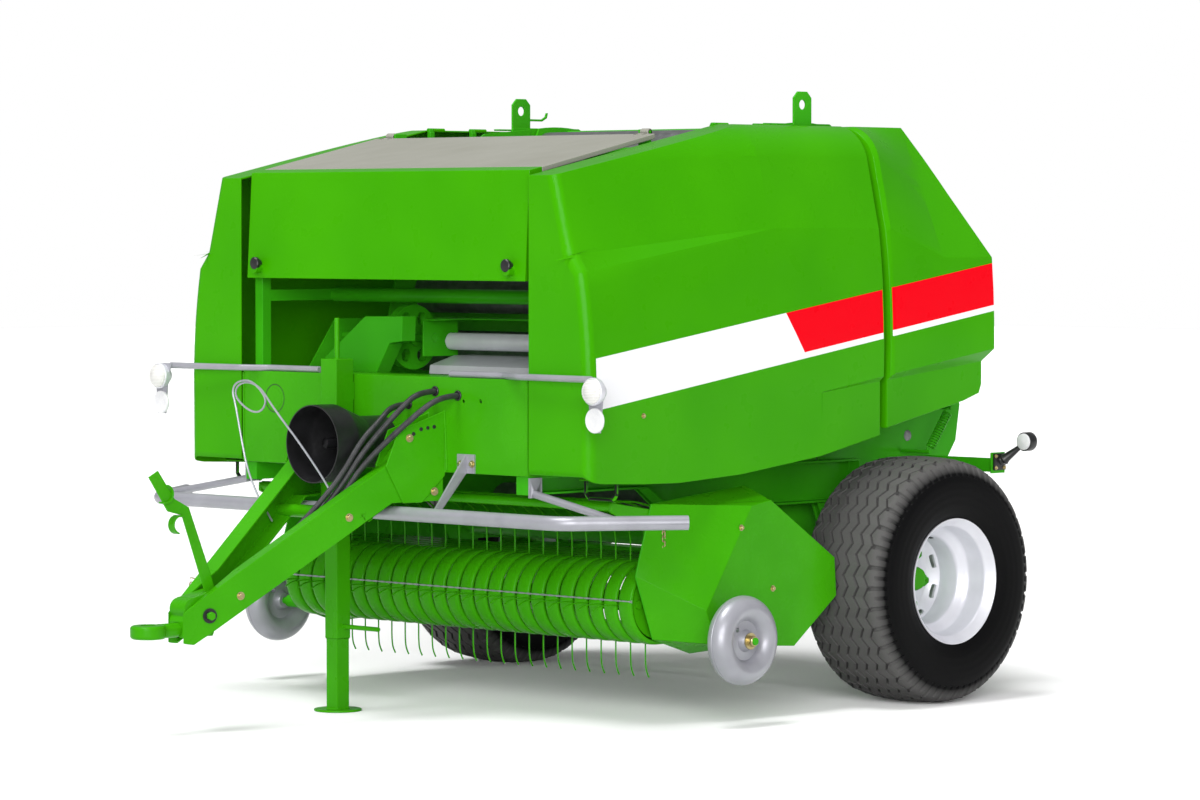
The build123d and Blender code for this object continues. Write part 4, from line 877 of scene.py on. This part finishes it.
def stripper_bands(reel):
    """Convex bands wrapped round the reel's front, with their cross straps."""
    outer = BAND_SECTION
    inner = [(x * 0.92, r - BAND_SHEET) for x, r in reversed(outer)]
    x0 = -(BAND_COUNT - 1) / 2 * PITCH
    above, below = BAND_BACK
    ring = [reel + Vector((x0 + x, above, BAND_R + r)) * MM for x, r in outer + inner]
    band = new_mesh("band", ring, [tuple(range(len(ring)))])
    edit(band)
    bpy.ops.mesh.extrude_region_move(TRANSFORM_OT_translate={"value": (0, -above * MM, 0)})
    bpy.ops.mesh.spin(steps=BAND_STEPS, angle=pi, center=tuple(reel), axis=(-1, 0, 0))
    bpy.ops.mesh.extrude_region_move(TRANSFORM_OT_translate={"value": (0, below * MM, 0)})
    bpy.ops.mesh.select_all(action="SELECT")
    bpy.ops.mesh.normals_make_consistent(inside=False)
    leave()
    parts = [row(band, BAND_COUNT, (PITCH * MM, 0, 0))]
    for y0, z0, z1 in ((above - 2, 80, BAND_R - 2), (below, -BAND_R + 2, -BAND_R + 40)):
        corners = [(0, z0), (STRAP, z0), (STRAP, z1), (0, z1)]
        outline = [reel + Vector((-WALL_X, y0 + y, z)) * MM for y, z in corners]
        parts.append(bevelled(extruded("strap", outline, (2 * WALL_X * MM, 0, 0)), 0.001, 1))
    return joined(parts)


def tie_wires(reel):
    """Two thin wires twisted along the front of the bands."""
    start = -WALL_X + 10
    count = 2 * BAND_COUNT
    wires = []
    for phase in (0, 1):
        points = []
        for i in range(count + 1):
            sway = WIRE_SWAY if (i + phase) % 2 else -WIRE_SWAY
            x = start - i * 2 * start / count
            points.append(reel + Vector((x, -BAND_R - 0.5, 14 + sway)) * MM)
        wires.append(bar("wire", points, 0.0016, 8, bend=1))
    return joined(wires)


def tined_reel(reel):
    """The reel's tube and discs, with four bars of round spring tines."""
    profile = [(-REEL_HALF - 26, 0), (-REEL_HALF - 26, 20), (-REEL_HALF, 20), (-REEL_HALF, 34)]
    for x in REEL_DISCS:
        profile += [(x - 3, 34), (x - 3, 119), (x + 3, 119), (x + 3, 34)]
    profile += [(-x, r) for x, r in profile[3::-1]]
    parts = [turned("tube", [(x * MM, r * MM) for x, r in profile], reel, (1, 0, 0), 32)]
    length = REEL_HALF - 12
    rail = bar("rail", [reel + Vector((x, TINE_LINE[0][0], 0)) * MM for x in (-length, length)], 0.015, 12)
    line = [reel + Vector((TINE_X0, out, aside)) * MM for out, aside in TINE_LINE]
    tine = bar("tine", line, TINE_R, 8, bend=1)
    turns = [2 * pi * i / 12 for i in range(20)]
    coil = [reel + Vector((TINE_X0 + 5 * cos(t), TINE_LINE[0][0] + 18 * sin(t), 18 * cos(t))) * MM
            for t in turns]
    eye = bar("eye", coil, TINE_R, 8, bend=1)
    tines = row(joined([tine, eye]), TINE_COUNT, (PITCH * MM, 0, 0))
    parts.append(around(joined([rail, tines]), REEL_BARS, reel))
    return joined(parts)


def wind_guard():
    """The wind guard's cross tube and ears, with a bent rod over each row of tines."""
    y, z = WIND_ROD[0]
    end = WALL_X - 6
    parts = [bar("tube", [place(-end, y, z), place(end, y, z)], 0.017, 16)]
    for side in (-1, 1):
        outline = [place(side * (WALL_X - 12), ear_y, ear_z) for ear_y, ear_z in WIND_EAR]
        parts.append(bevelled(extruded("ear", outline, (side * 0.012, 0, 0)), 0.002, 1))
    finger = bar("finger", [place(TINE_X0, rod_y, rod_z) for rod_y, rod_z in WIND_ROD], 0.0034, 8, bend=1)
    parts.append(row(finger, TINE_COUNT, (PITCH * MM, 0, 0)))
    return joined(parts)


class BALER_OT_pickup(Operator):
    """Bends the stripper bands, the tined reel and the wind guard"""

    bl_idname = "baler.pickup"
    bl_label = "Pickup"

    def execute(self, context):
        reel = middle_of("pickup_reel")
        for name, obj, node in (("convex_stripper_bands", stripper_bands(reel), "stripper_bands"),
                                ("tined_reel", tined_reel(reel), "pickup_reel"),
                                ("bent_rod_wind_guard", wind_guard(), "wind_guard")):
            finish_piece(obj, name, BODY_OF[node], "paint", 40)
            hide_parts(node)
        wires = tie_wires(reel)
        finish_piece(wires, "band_tie_wires", BODY_OF["stripper_bands"], "galvanised", 40)
        return {"FINISHED"}


# Lamps

FRONT_LAMP = (1092.0, -1628.0, 1130.0)    # middle of the lamp's back
REFLECTOR = (1092.0, -1656.0, 1036.0)
REAR_LAMP = (1030.0, 600.0, 890.0)
REAR_ARM = (950.0, 565.0, 823.0)
HOUSING = [(0, 0), (0, 24), (10, 30), (22, 42), (28, 45), (44, 45), (46, 43.5), (46, 41), (43, 40)]
LENS_DOME = [(44, 41), (50, 40.5), (53, 38.5), (54, 36), (56, 35), (58, 31), (58.5, 26), (60, 24),
             (61, 16), (62, 14), (62.4, 0)]
DISC = [(0, 0), (0, 41), (5, 41), (8, 38.5), (8, 35), (7, 34), (7, 0)]
REAR_SHELL = [(-18, 0), (-18, 33), (-16, 34), (16, 34), (18, 33), (18, 0)]
REAR_DOME = [(18, 0), (18, 30), (22, 29), (25, 22), (26, 0)]
REAR_PLATE = [(522, 786), (586, 786), (586, 846), (522, 846)]   # (y, z) of its corners
REAR_PLATE_X = 936.5
REAR_BOSS = [(0, 0), (0, 20), (8, 19), (14, 12), (14, 0)]
REAR_BOSS_X = 940.0


def lathe(name, profile, centre, axis, steps=40):
    """A turned piece whose profile is in millimetres."""
    return turned(name, [(a * MM, r * MM) for a, r in profile], centre, axis, steps)


class BALER_OT_lamps(Operator):
    """Turns the front lamps and reflectors and the rear lamps on their arms"""

    bl_idname = "baler.lamps"
    bl_label = "Lamps"

    def execute(self, context):
        for side, word in ((1, "right"), (-1, "left")):
            x, y, z = FRONT_LAMP
            back = place(side * x, y, z)
            housing = lathe("housing", HOUSING, back, (0, -1, 0))
            finish_piece(housing, "front_lamp_housing_" + word, "machine", "silver", 30)
            lens = lathe("lens", LENS_DOME, back, (0, -1, 0))
            finish_piece(lens, "front_lamp_lens_" + word, "machine", "lens", 30)
            x, y, z = REFLECTOR
            disc = lathe("disc", DISC, place(side * x, y, z), (0, -1, 0))
            finish_piece(disc, "front_reflector_" + word, "machine", "white", 30)
            if side > 0:
                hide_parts("front_lamps")

            x, y, z = REAR_LAMP
            lamp = place(side * x, y, z)
            x, y, z = REAR_ARM
            foot = place(side * x, y, z)
            body = BODY_OF["rear_lamps"]
            shell = lathe("shell", REAR_SHELL, lamp, (0, 1, 0))
            reach = (lamp - foot).length / MM
            profile = [(0, 0), (0, 20), (4, 21), (14, 16), (reach - 34, 9), (reach - 20, 10), (reach - 20, 0)]
            arm = lathe("arm", profile, foot, lamp - foot, 20)
            outline = [place(side * REAR_PLATE_X, py, pz) for py, pz in REAR_PLATE]
            plate = bevelled(extruded("plate", outline, (side * 0.008, 0, 0)), 0.002, 2)
            boss = lathe("boss", REAR_BOSS, place(side * REAR_BOSS_X, y, z), (side, 0, 0), 24)
            whole = joined([shell, arm, plate, boss])
            finish_piece(whole, "rear_lamp_and_arm_" + word, body, "plastic", 30)
            if side > 0:
                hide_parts("rear_lamps")
            for toward, lens_word, colour in ((1, "red", "lens_red"), (-1, "clear", "white")):
                dome = lathe("dome", REAR_DOME, lamp, (0, toward, 0))
                name = "rear_lamp_" + lens_word + "_lens_" + word
                finish_piece(dome, name, body, colour, 30)
        return {"FINISHED"}


# Small fittings

SLANT = (1, -0.3, 0)      # outward from the right drawbar beam
GUIDE_Y = -1925.0
GUIDE_UP = [   # (x, z) up from the drawbar and once round the loop
    (150, 712), (133, 746), (77, 816), (-44, 933), (-126, 1003), (-194, 1064), (-238, 1109), (-279, 1129),
    (-322, 1134), (-363, 1122), (-378, 1096), (-365, 1072), (-333, 1051), (-300, 1036), (-264, 1031),
    (-233, 1042), (-215, 1074)]
GUIDE_DOWN = [(-235, 1108), (-279, 1136), (-325, 1141), (-372, 1126), (-382, 1094), (-368, 1064), (-334, 933),
              (-306, 838), (-260, 759), (-227, 720), (-178, 665)]
CHAIN = (930.0, -1171.0, 655.0)     # first link
CHAIN_LINKS = 6
LINK = (10.5, 6.0, 2.3)             # half length, half width and wire radius of a link
LINK_STEPS = 24
SPRING_ENDS = ((750.0, 503.0, 1006.0), (750.0, 383.0, 851.0))
SPRING_R = 15.0
SPRING_TURNS = 15
SPRING_STEPS = 10                   # points to a turn
SPRING_ENDS_SHARE = 0.1             # of its length, straight at each end
PIN_X = 624.0                       # inner end of the spring's pins
KNOB = [(0, 0), (0, 12), (12, 12), (13, 20), (17, 22), (26, 22), (29, 19), (30, 8), (30, 0)]
KNOB_PLACE = (632.0, -1592.0, 1534.0)
BEAM_PLUG = (-547.0, -1597.0, 1063.0)
PLUG_EDGE = [(-1, 47), (0.3, 47), (0.3, 50), (-1, 50)]
PLUG_FACE = [(0.1, 0), (0.1, 35), (-3, 35), (-3, 0)]
HANDLE = [(813, 830), (813, 780), (831, 762), (937, 762), (955, 780), (955, 830)]   # (x, z) along it
HANDLE_Y = -1420.0
PIN_RECESS = (67.0, -2418.0, 388.0)
RECESS_SHADE_DISC = [(0, 0), (0, 25), (1.5, 25), (1.5, 0)]
CLIP = [(112, 470), (126, 486), (140, 480), (142, 462), (128, 454), (114, 466), (104, 486), (120, 500),
        (138, 496)]
CLIP_Y = -2330.0
HOOK_X = 20.0
HOOK_W = 30.0
HOOK_R = 26.0
HOOK_SWEEP = 200.0        # degrees
HOOK_STEPS = 14
HOOKS = (((-2572.0, 792.0), -110.0), ((-2512.0, 690.0), 60.0))   # (y, z) of a hook's middle, start of its arc
HOSE_HOLES = [route[0][::2] for route in HOSES.values()]   # (x, z)
HOLE_Y = -1597.0
HOLE_RIM = [(0, 10.5), (3, 10.5), (5, 12), (5, 15), (3, 17.5), (0, 17.5)]
WELDS = [((319, -1598, 1042), (330, -1598, 845)), ((-319, -1598, 1042), (-330, -1598, 845)),
         ((712, -1598, 1150), (712, -1598, 842)), ((-712, -1598, 1150), (-712, -1598, 842))]


def chain():
    """A short chain, each link turned across the last."""
    half, width, wire = LINK
    links = []
    for i in range(CHAIN_LINKS):
        points = []
        for k in range(LINK_STEPS + 1):
            turn = 2 * pi * k / LINK_STEPS
            aside = width * cos(turn)
            down = width * sin(turn) + (half - width) * (1 if sin(turn) > 0 else -1)
            x, y, z = CHAIN
            z -= i * 2 * (half - wire)
            if i % 2:
                x += aside
            else:
                y += aside
            points.append(place(x, y, z + down))
        links.append(bar("link", points, wire * MM, 8))
    return joined(links)


def coil_spring():
    """A close-wound tension spring with a straight end at each pin."""
    top, foot = [place(*end) for end in SPRING_ENDS]
    axis = foot - top
    across = axis.orthogonal().normalized()
    other = axis.cross(across).normalized()
    points = [top]
    steps = SPRING_TURNS * SPRING_STEPS
    for i in range(steps + 1):
        turn = 2 * pi * i / SPRING_STEPS
        along = SPRING_ENDS_SHARE + (1 - 2 * SPRING_ENDS_SHARE) * i / steps
        out = (across * cos(turn) + other * sin(turn)) * SPRING_R * MM
        points.append(top + axis * along + out)
    points.append(foot)
    parts = [bar("coil", points, 0.0032, 8, bend=1)]
    for x, y, z in SPRING_ENDS:
        parts.append(bar("pin", [place(PIN_X, y, z), place(x + 8, y, z)], 0.007, 12))
    return joined(parts)


class BALER_OT_fittings(Operator):
    """Bends the hose guide and adds chains, springs, knobs, hole rims and weld beads"""

    bl_idname = "baler.fittings"
    bl_label = "Small fittings"

    def execute(self, context):
        route = [place(x, GUIDE_Y, z) for x, z in GUIDE_UP]
        route += [place(x, GUIDE_Y - 8, z) for x, z in GUIDE_DOWN]
        guide = bar("guide", route, 0.0036, 10, bend=1)
        finish_piece(guide, "bent_hose_guide", "machine", "galvanised", 40)
        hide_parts("hose_guide")
        finish_piece(chain(), "shield_chain", "pickup", "zinc", 40)
        finish_piece(coil_spring(), "tailgate_spring", "tailgate", "chassis", 40)
        x, y, z = KNOB_PLACE
        knobs = [lathe("knob", KNOB, place(side * x, y, z), (0, -1, 0), 12) for side in (-1, 1)]
        finish_piece(joined(knobs), "flap_knobs", BODY_OF["front_flap"], "plastic", 20)
        profile = [(a * MM, r * MM) for a, r in HOLE_RIM]
        rims = [turned("rim", profile, place(hx, HOLE_Y, hz), (0, -1, 0), 24, closed=True)
                for hx, hz in HOSE_HOLES]
        finish_piece(joined(rims), "hose_hole_grommets", "machine", "plastic", 30)
        slit = lathe("slit", PLUG_EDGE, place(*BEAM_PLUG), (0, -1, 0), 48)
        finish_piece(slit, "beam_cut_line", "machine", "plastic", 30)
        plug = lathe("plug", PLUG_FACE, place(*BEAM_PLUG), (0, -1, 0))
        finish_piece(plug, "beam_plug", "machine", "paint", 30)
        for side, word in ((1, "right"), (-1, "left")):
            handle = bar("handle", [place(side * hx, HANDLE_Y, hz) for hx, hz in HANDLE], 0.0066, 12)
            finish_piece(handle, "cover_handle_" + word, "cover_" + word, "black", 40)
            x, y, z = PIN_RECESS
            slant = (side, SLANT[1], 0)
            # Painted shade: a flat black disc round the pin's nut stands in for the recess.
            eye = lathe("ring", RECESS_SHADE_DISC, place(side * x, y, z), slant, 28)
            finish_piece(eye, "drawbar_pin_recess_" + word, "machine", "plastic", 30)
            nut = bolt(place(side * (x + 1), y, z), slant, 0.026, False)
            finish_piece(nut, "drawbar_pin_nut_" + word, "machine", "paint", 30)
        clip = bar("grip", [place(-gx, CLIP_Y, gz) for gx, gz in CLIP], 0.0022, 8, bend=1)
        finish_piece(clip, "grip_clip", "machine", "zinc", 40)
        hooks = []
        for (hy, hz), tilt in HOOKS:
            turns = [radians(tilt + HOOK_SWEEP * i / HOOK_STEPS) for i in range(HOOK_STEPS + 1)]
            inner = [(HOOK_R * cos(t), HOOK_R * sin(t)) for t in turns]
            outer = [(y * 1.22, z * 1.22) for y, z in reversed(inner)]
            outline = [place(HOOK_X - HOOK_W / 2, hy + y, hz + z) for y, z in inner + outer]
            hooks.append(bevelled(extruded("hook", outline, (HOOK_W * MM, 0, 0)), 0.001, 1))
        finish_piece(joined(hooks), "shaft_holder_hooks", "machine", "paint", 40)
        beads = [bar("bead", [place(*start), place(*end)], 0.004, 8) for start, end in WELDS]
        finish_piece(joined(beads), "weld_beads", "machine", "paint", 40)
        return {"FINISHED"}


# Bolts

BOLTS = [   # node that the bolt sits on, place, direction, size in millimetres; each has its mirror twin
    ("drawbar", (211, -1933, 695), SLANT, 17), ("drawbar", (97, -2311, 449), SLANT, 17),
    ("front_beam", (282, -1725, 955), SLANT, 17), ("front_beam", (308, -1636, 774), SLANT, 17),
    ("guard_bar", (402, -1603, 868), (0, -1, 0), 15), ("guard_bar", (458, -1603, 870), (0, -1, 0), 15),
    ("side_cover", (1005, -1345, 1040), (1, 0, 0), 11),
    ("pickup_shield", (1050, -921, 653), (1, 0, 0), 13), ("pickup_shield", (1050, -765, 440), (1, 0, 0), 13),
    ("rear_lamps", (944, 531, 795), (1, 0, 0), 9), ("rear_lamps", (944, 577, 795), (1, 0, 0), 9),
    ("rear_lamps", (944, 531, 837), (1, 0, 0), 9), ("rear_lamps", (944, 577, 837), (1, 0, 0), 9),
]
HOLES = [(286, -1710, 969), (294, -1683, 984), (301, -1659, 988), (308, -1636, 991)]   # row in the cheek
HOLE_SHADE_DISC = [(-1, 0), (-1, 7), (0.3, 7), (0.4, 6.5), (0.4, 0)]


class BALER_OT_bolts(Operator):
    """Sets the bolts that show, and flat black discs for the row of holes in the drawbar's cheeks, their dark
    a painted shade
    """

    bl_idname = "baler.bolts"
    bl_label = "Bolts"

    def execute(self, context):
        groups = {}
        for node, (x, y, z), (dx, dy, dz), size in BOLTS:
            for side, word in ((1, "_right"), (-1, "_left")):
                body = BODY_OF.get(node) or BODY_OF[node + word]
                made = bolt(place(side * x, y, z), (side * dx, dy, dz), size * MM)
                groups.setdefault((node, body), []).append(made)
        for (node, body), made in groups.items():
            finish_piece(joined(made), node + "_bolts_" + body, body, "zinc", 30)
        # Painted shade: flat black discs on the cheek's face stand in for the dark insides of its holes.
        discs = [lathe("disc", HOLE_SHADE_DISC, place(side * x, y, z), (side, SLANT[1], 0), 16)
                 for x, y, z in HOLES for side in (1, -1)]
        finish_piece(joined(discs), "cheek_holes", "machine", "plastic", 30)
        return {"FINISHED"}


# Panels and castings that keep their form and get their rounded edges and finish

FINISHES = {   # node: (material, record slot, edge rounding in mm)
    "axle_beam": ("chassis", "chassis_green", 3),
    "front_beam": ("paint", "green_paint", 2.5),
    "drawbar": ("paint", "green_paint", 3),
    "hitch_head": ("paint", "green_paint", 2.5),
    "towing_eye": ("paint", "green_paint", 0),
    "side_frame_right": ("chassis", "chassis_green", 1),
    "side_frame_left": ("chassis", "chassis_green", 1),
    "front_rollers": ("worn_steel", "roller_steel", 0),
    "feed_rotor": ("chassis", "chassis_green", 0),
    "top_frame": ("chassis", "chassis_green", 2),
    "jack_tube": ("paint", "green_paint", 3),
    "jack_leg": ("paint", "green_paint", 3),
    "pto_guard": ("plastic", "black_plastic", 0),
    "pto_shaft": ("black", "bare_steel", 0),
    "gearbox": ("chassis", "casting_grey", 0),
    # The guard bar and the lamp arms take the lacquer painted darker, a painted shade.
    "guard_bar": ("pressed", "galvanised", 0),
    "front_lamp_arms": ("pressed", "galvanised", 0.8),
    "twine_pulley": ("chassis", "chassis_green", 1),
    # The feed roller takes the bright silver lacquer, painted light where it lies in shade.
    "feed_roller": ("silver", "galvanised", 0),
    "binder_frame": ("chassis", "chassis_green", 2),
    # The guide sheet takes the bright silver lacquer, painted light where it lies in shade.
    "guide_sheet": ("silver", "galvanised", 1),
    "hub_right": ("paint", "chassis_green", 0),
    "hub_left": ("paint", "chassis_green", 0),
    "tailgate_frame": ("chassis", "chassis_green", 1),
    "tailgate_rollers": ("worn_steel", "roller_steel", 0),
    "rear_cover_right": ("cover", "cover_plastic", 2),
    "rear_cover_left": ("cover", "cover_plastic", 2),
    "cylinder_barrel_right": ("black", "black_paint", 1),
    "cylinder_barrel_left": ("black", "black_paint", 1),
    "cylinder_rod_right": ("chrome", "chrome_rod", 1),
    "cylinder_rod_left": ("chrome", "chrome_rod", 1),
    "front_flap": ("cover", "cover_plastic", 3),
    "top_sheet": ("sheet", "pale_sheet", 3),
    "side_cover_right": ("cover", "cover_plastic", 2),
    "side_cover_left": ("cover", "cover_plastic", 2),
    "pickup_frame": ("chassis", "chassis_green", 1.5),
    "pickup_shield_right": ("paint", "cover_plastic", 2),
    "pickup_shield_left": ("paint", "cover_plastic", 2),
}


class BALER_OT_panels(Operator):
    """Rounds the edges of the machine's own panels, beams and castings and paints them"""

    bl_idname = "baler.panels"
    bl_label = "Panels and frame"

    def execute(self, context):
        for node, (material, slot, rounding) in FINISHES.items():
            dress(node, material, rounding)
        return {"FINISHED"}


# Stage

FLOOR_SIZE = 90.0
LENS = 138.354            # millimetres
CAMERA = (11.6092, -12.2038, 1.6825)
CAMERA_TURN = (87.7731, 0.0, 44.8599)   # degrees
KEY_FROM = (-0.3, -3.0, 9.0)
KEY_SOFTNESS = 24.0       # degrees across the light, as seen from the machine
FILL_FROM = (5.0, -5.4, 1.5)
FILL_SOFTNESS = 40.0


class BALER_OT_stage(Operator):
    """Sets the floor, the soft studio light and the camera"""

    bl_idname = "baler.stage"
    bl_label = "Stage"

    def execute(self, context):
        settings = context.scene.baler_stage
        bpy.ops.object.select_all(action="DESELECT")
        bpy.ops.mesh.primitive_plane_add(size=FLOOR_SIZE, location=(0, 0, 0))
        floor = context.view_layer.objects.active
        floor.name = "studio_floor"
        material, tree = start_material("matt_studio_vinyl")[:2]
        colour = (*settings.floor_colour, 1.0)
        shader = add(tree, "ShaderNodeBsdfDiffuse", {"Color": colour, "Roughness": 0.6})
        finish_material(material, tree, shader)
        floor.data.materials.append(material)

        world = bpy.data.worlds.new("studio_world")
        context.scene.world = world
        world.use_nodes = True
        tree = world.node_tree
        tree.nodes.clear()
        sky_place = add(tree, "ShaderNodeTexCoord").outputs["Generated"]
        up = add(tree, "ShaderNodeSeparateXYZ", links={0: sky_place})
        ends = {"From Min": -0.1, "From Max": 0.9,
                "To Min": settings.ambient * 0.75, "To Max": settings.ambient * 1.35}
        level = add(tree, "ShaderNodeMapRange", ends, {"Value": up.outputs[2]})
        path = add(tree, "ShaderNodeLightPath")
        rays = {0: path.outputs["Is Camera Ray"], 1: path.outputs["Is Transmission Ray"]}
        seen = add(tree, "ShaderNodeMath", links=rays, operation="MAXIMUM")
        levels = {0: seen.outputs[0], 2: level.outputs[0]}
        strength = add(tree, "ShaderNodeMix", links=levels, data_type="FLOAT")
        strength.inputs[3].default_value = 1.0
        sky = add(tree, "ShaderNodeBackground", {"Color": (1, 1, 1, 1)}, {"Strength": strength.outputs[0]})
        add(tree, "ShaderNodeOutputWorld", links={"Surface": sky.outputs[0]})

        for name, toward, size, strength in (("key_light", KEY_FROM, KEY_SOFTNESS, settings.key),
                                             ("fill_light", FILL_FROM, FILL_SOFTNESS, settings.fill)):
            data = bpy.data.lights.new(name, "SUN")
            data.angle = radians(size)
            data.energy = strength
            lamp = bpy.data.objects.new(name, data)
            context.scene.collection.objects.link(lamp)
            lamp.location = at(*toward)
            lamp.rotation_euler = Vector(toward).to_track_quat("Z", "Y").to_euler()

        data = bpy.data.cameras.new("camera")
        data.lens = LENS
        data.clip_end = 200.0
        camera = bpy.data.objects.new("camera", data)
        context.scene.collection.objects.link(camera)
        camera.location = at(*CAMERA)
        camera.rotation_euler = [radians(a) for a in CAMERA_TURN]
        context.scene.camera = camera
        context.scene.view_settings.view_transform = "Standard"
        return {"FINISHED"}


class BALER_PT_panel(Panel):
    """The sizes and the operators, in the 3D view's sidebar."""

    bl_label = "Round baler"
    bl_idname = "BALER_PT_panel"
    bl_space_type = "VIEW_3D"
    bl_region_type = "UI"
    bl_category = "Baler"

    def draw(self, context):
        for name in ("waves", "groove_depth", "groove_width", "zigzag", "notch_depth"):
            self.layout.prop(context.scene.baler_tyre, name)
        for name in ("floor_colour", "ambient", "key", "fill"):
            self.layout.prop(context.scene.baler_stage, name)
        for operator in OPERATORS:
            self.layout.operator(operator.bl_idname)


SETTINGS = {"baler_tyre": BalerTyreSettings, "baler_stage": BalerStageSettings}
OPERATORS = [BALER_OT_stage, BALER_OT_hoses, BALER_OT_tyres, BALER_OT_wheels, BALER_OT_pickup, BALER_OT_lamps,
             BALER_OT_fittings, BALER_OT_bolts, BALER_OT_panels]


def register():
    """Makes the settings, operators and panel known."""
    for cls in (*SETTINGS.values(), *OPERATORS, BALER_PT_panel):
        bpy.utils.register_class(cls)
    for name, group in SETTINGS.items():
        setattr(bpy.types.Scene, name, PointerProperty(type=group))


def unregister():
    """Takes them out again."""
    for name in SETTINGS:
        delattr(bpy.types.Scene, name)
    for cls in reversed((*SETTINGS.values(), *OPERATORS, BALER_PT_panel)):
        bpy.utils.unregister_class(cls)


def main():
    """Builds the scene."""
    register()
    make_materials()
    bpy.ops.baler.stage()
    bpy.ops.baler.hoses()
    bpy.ops.baler.tyres()
    bpy.ops.baler.wheels()
    bpy.ops.baler.pickup()
    bpy.ops.baler.lamps()
    bpy.ops.baler.fittings()
    bpy.ops.baler.bolts()
    bpy.ops.baler.panels()


if __name__ == "__main__":
    main()
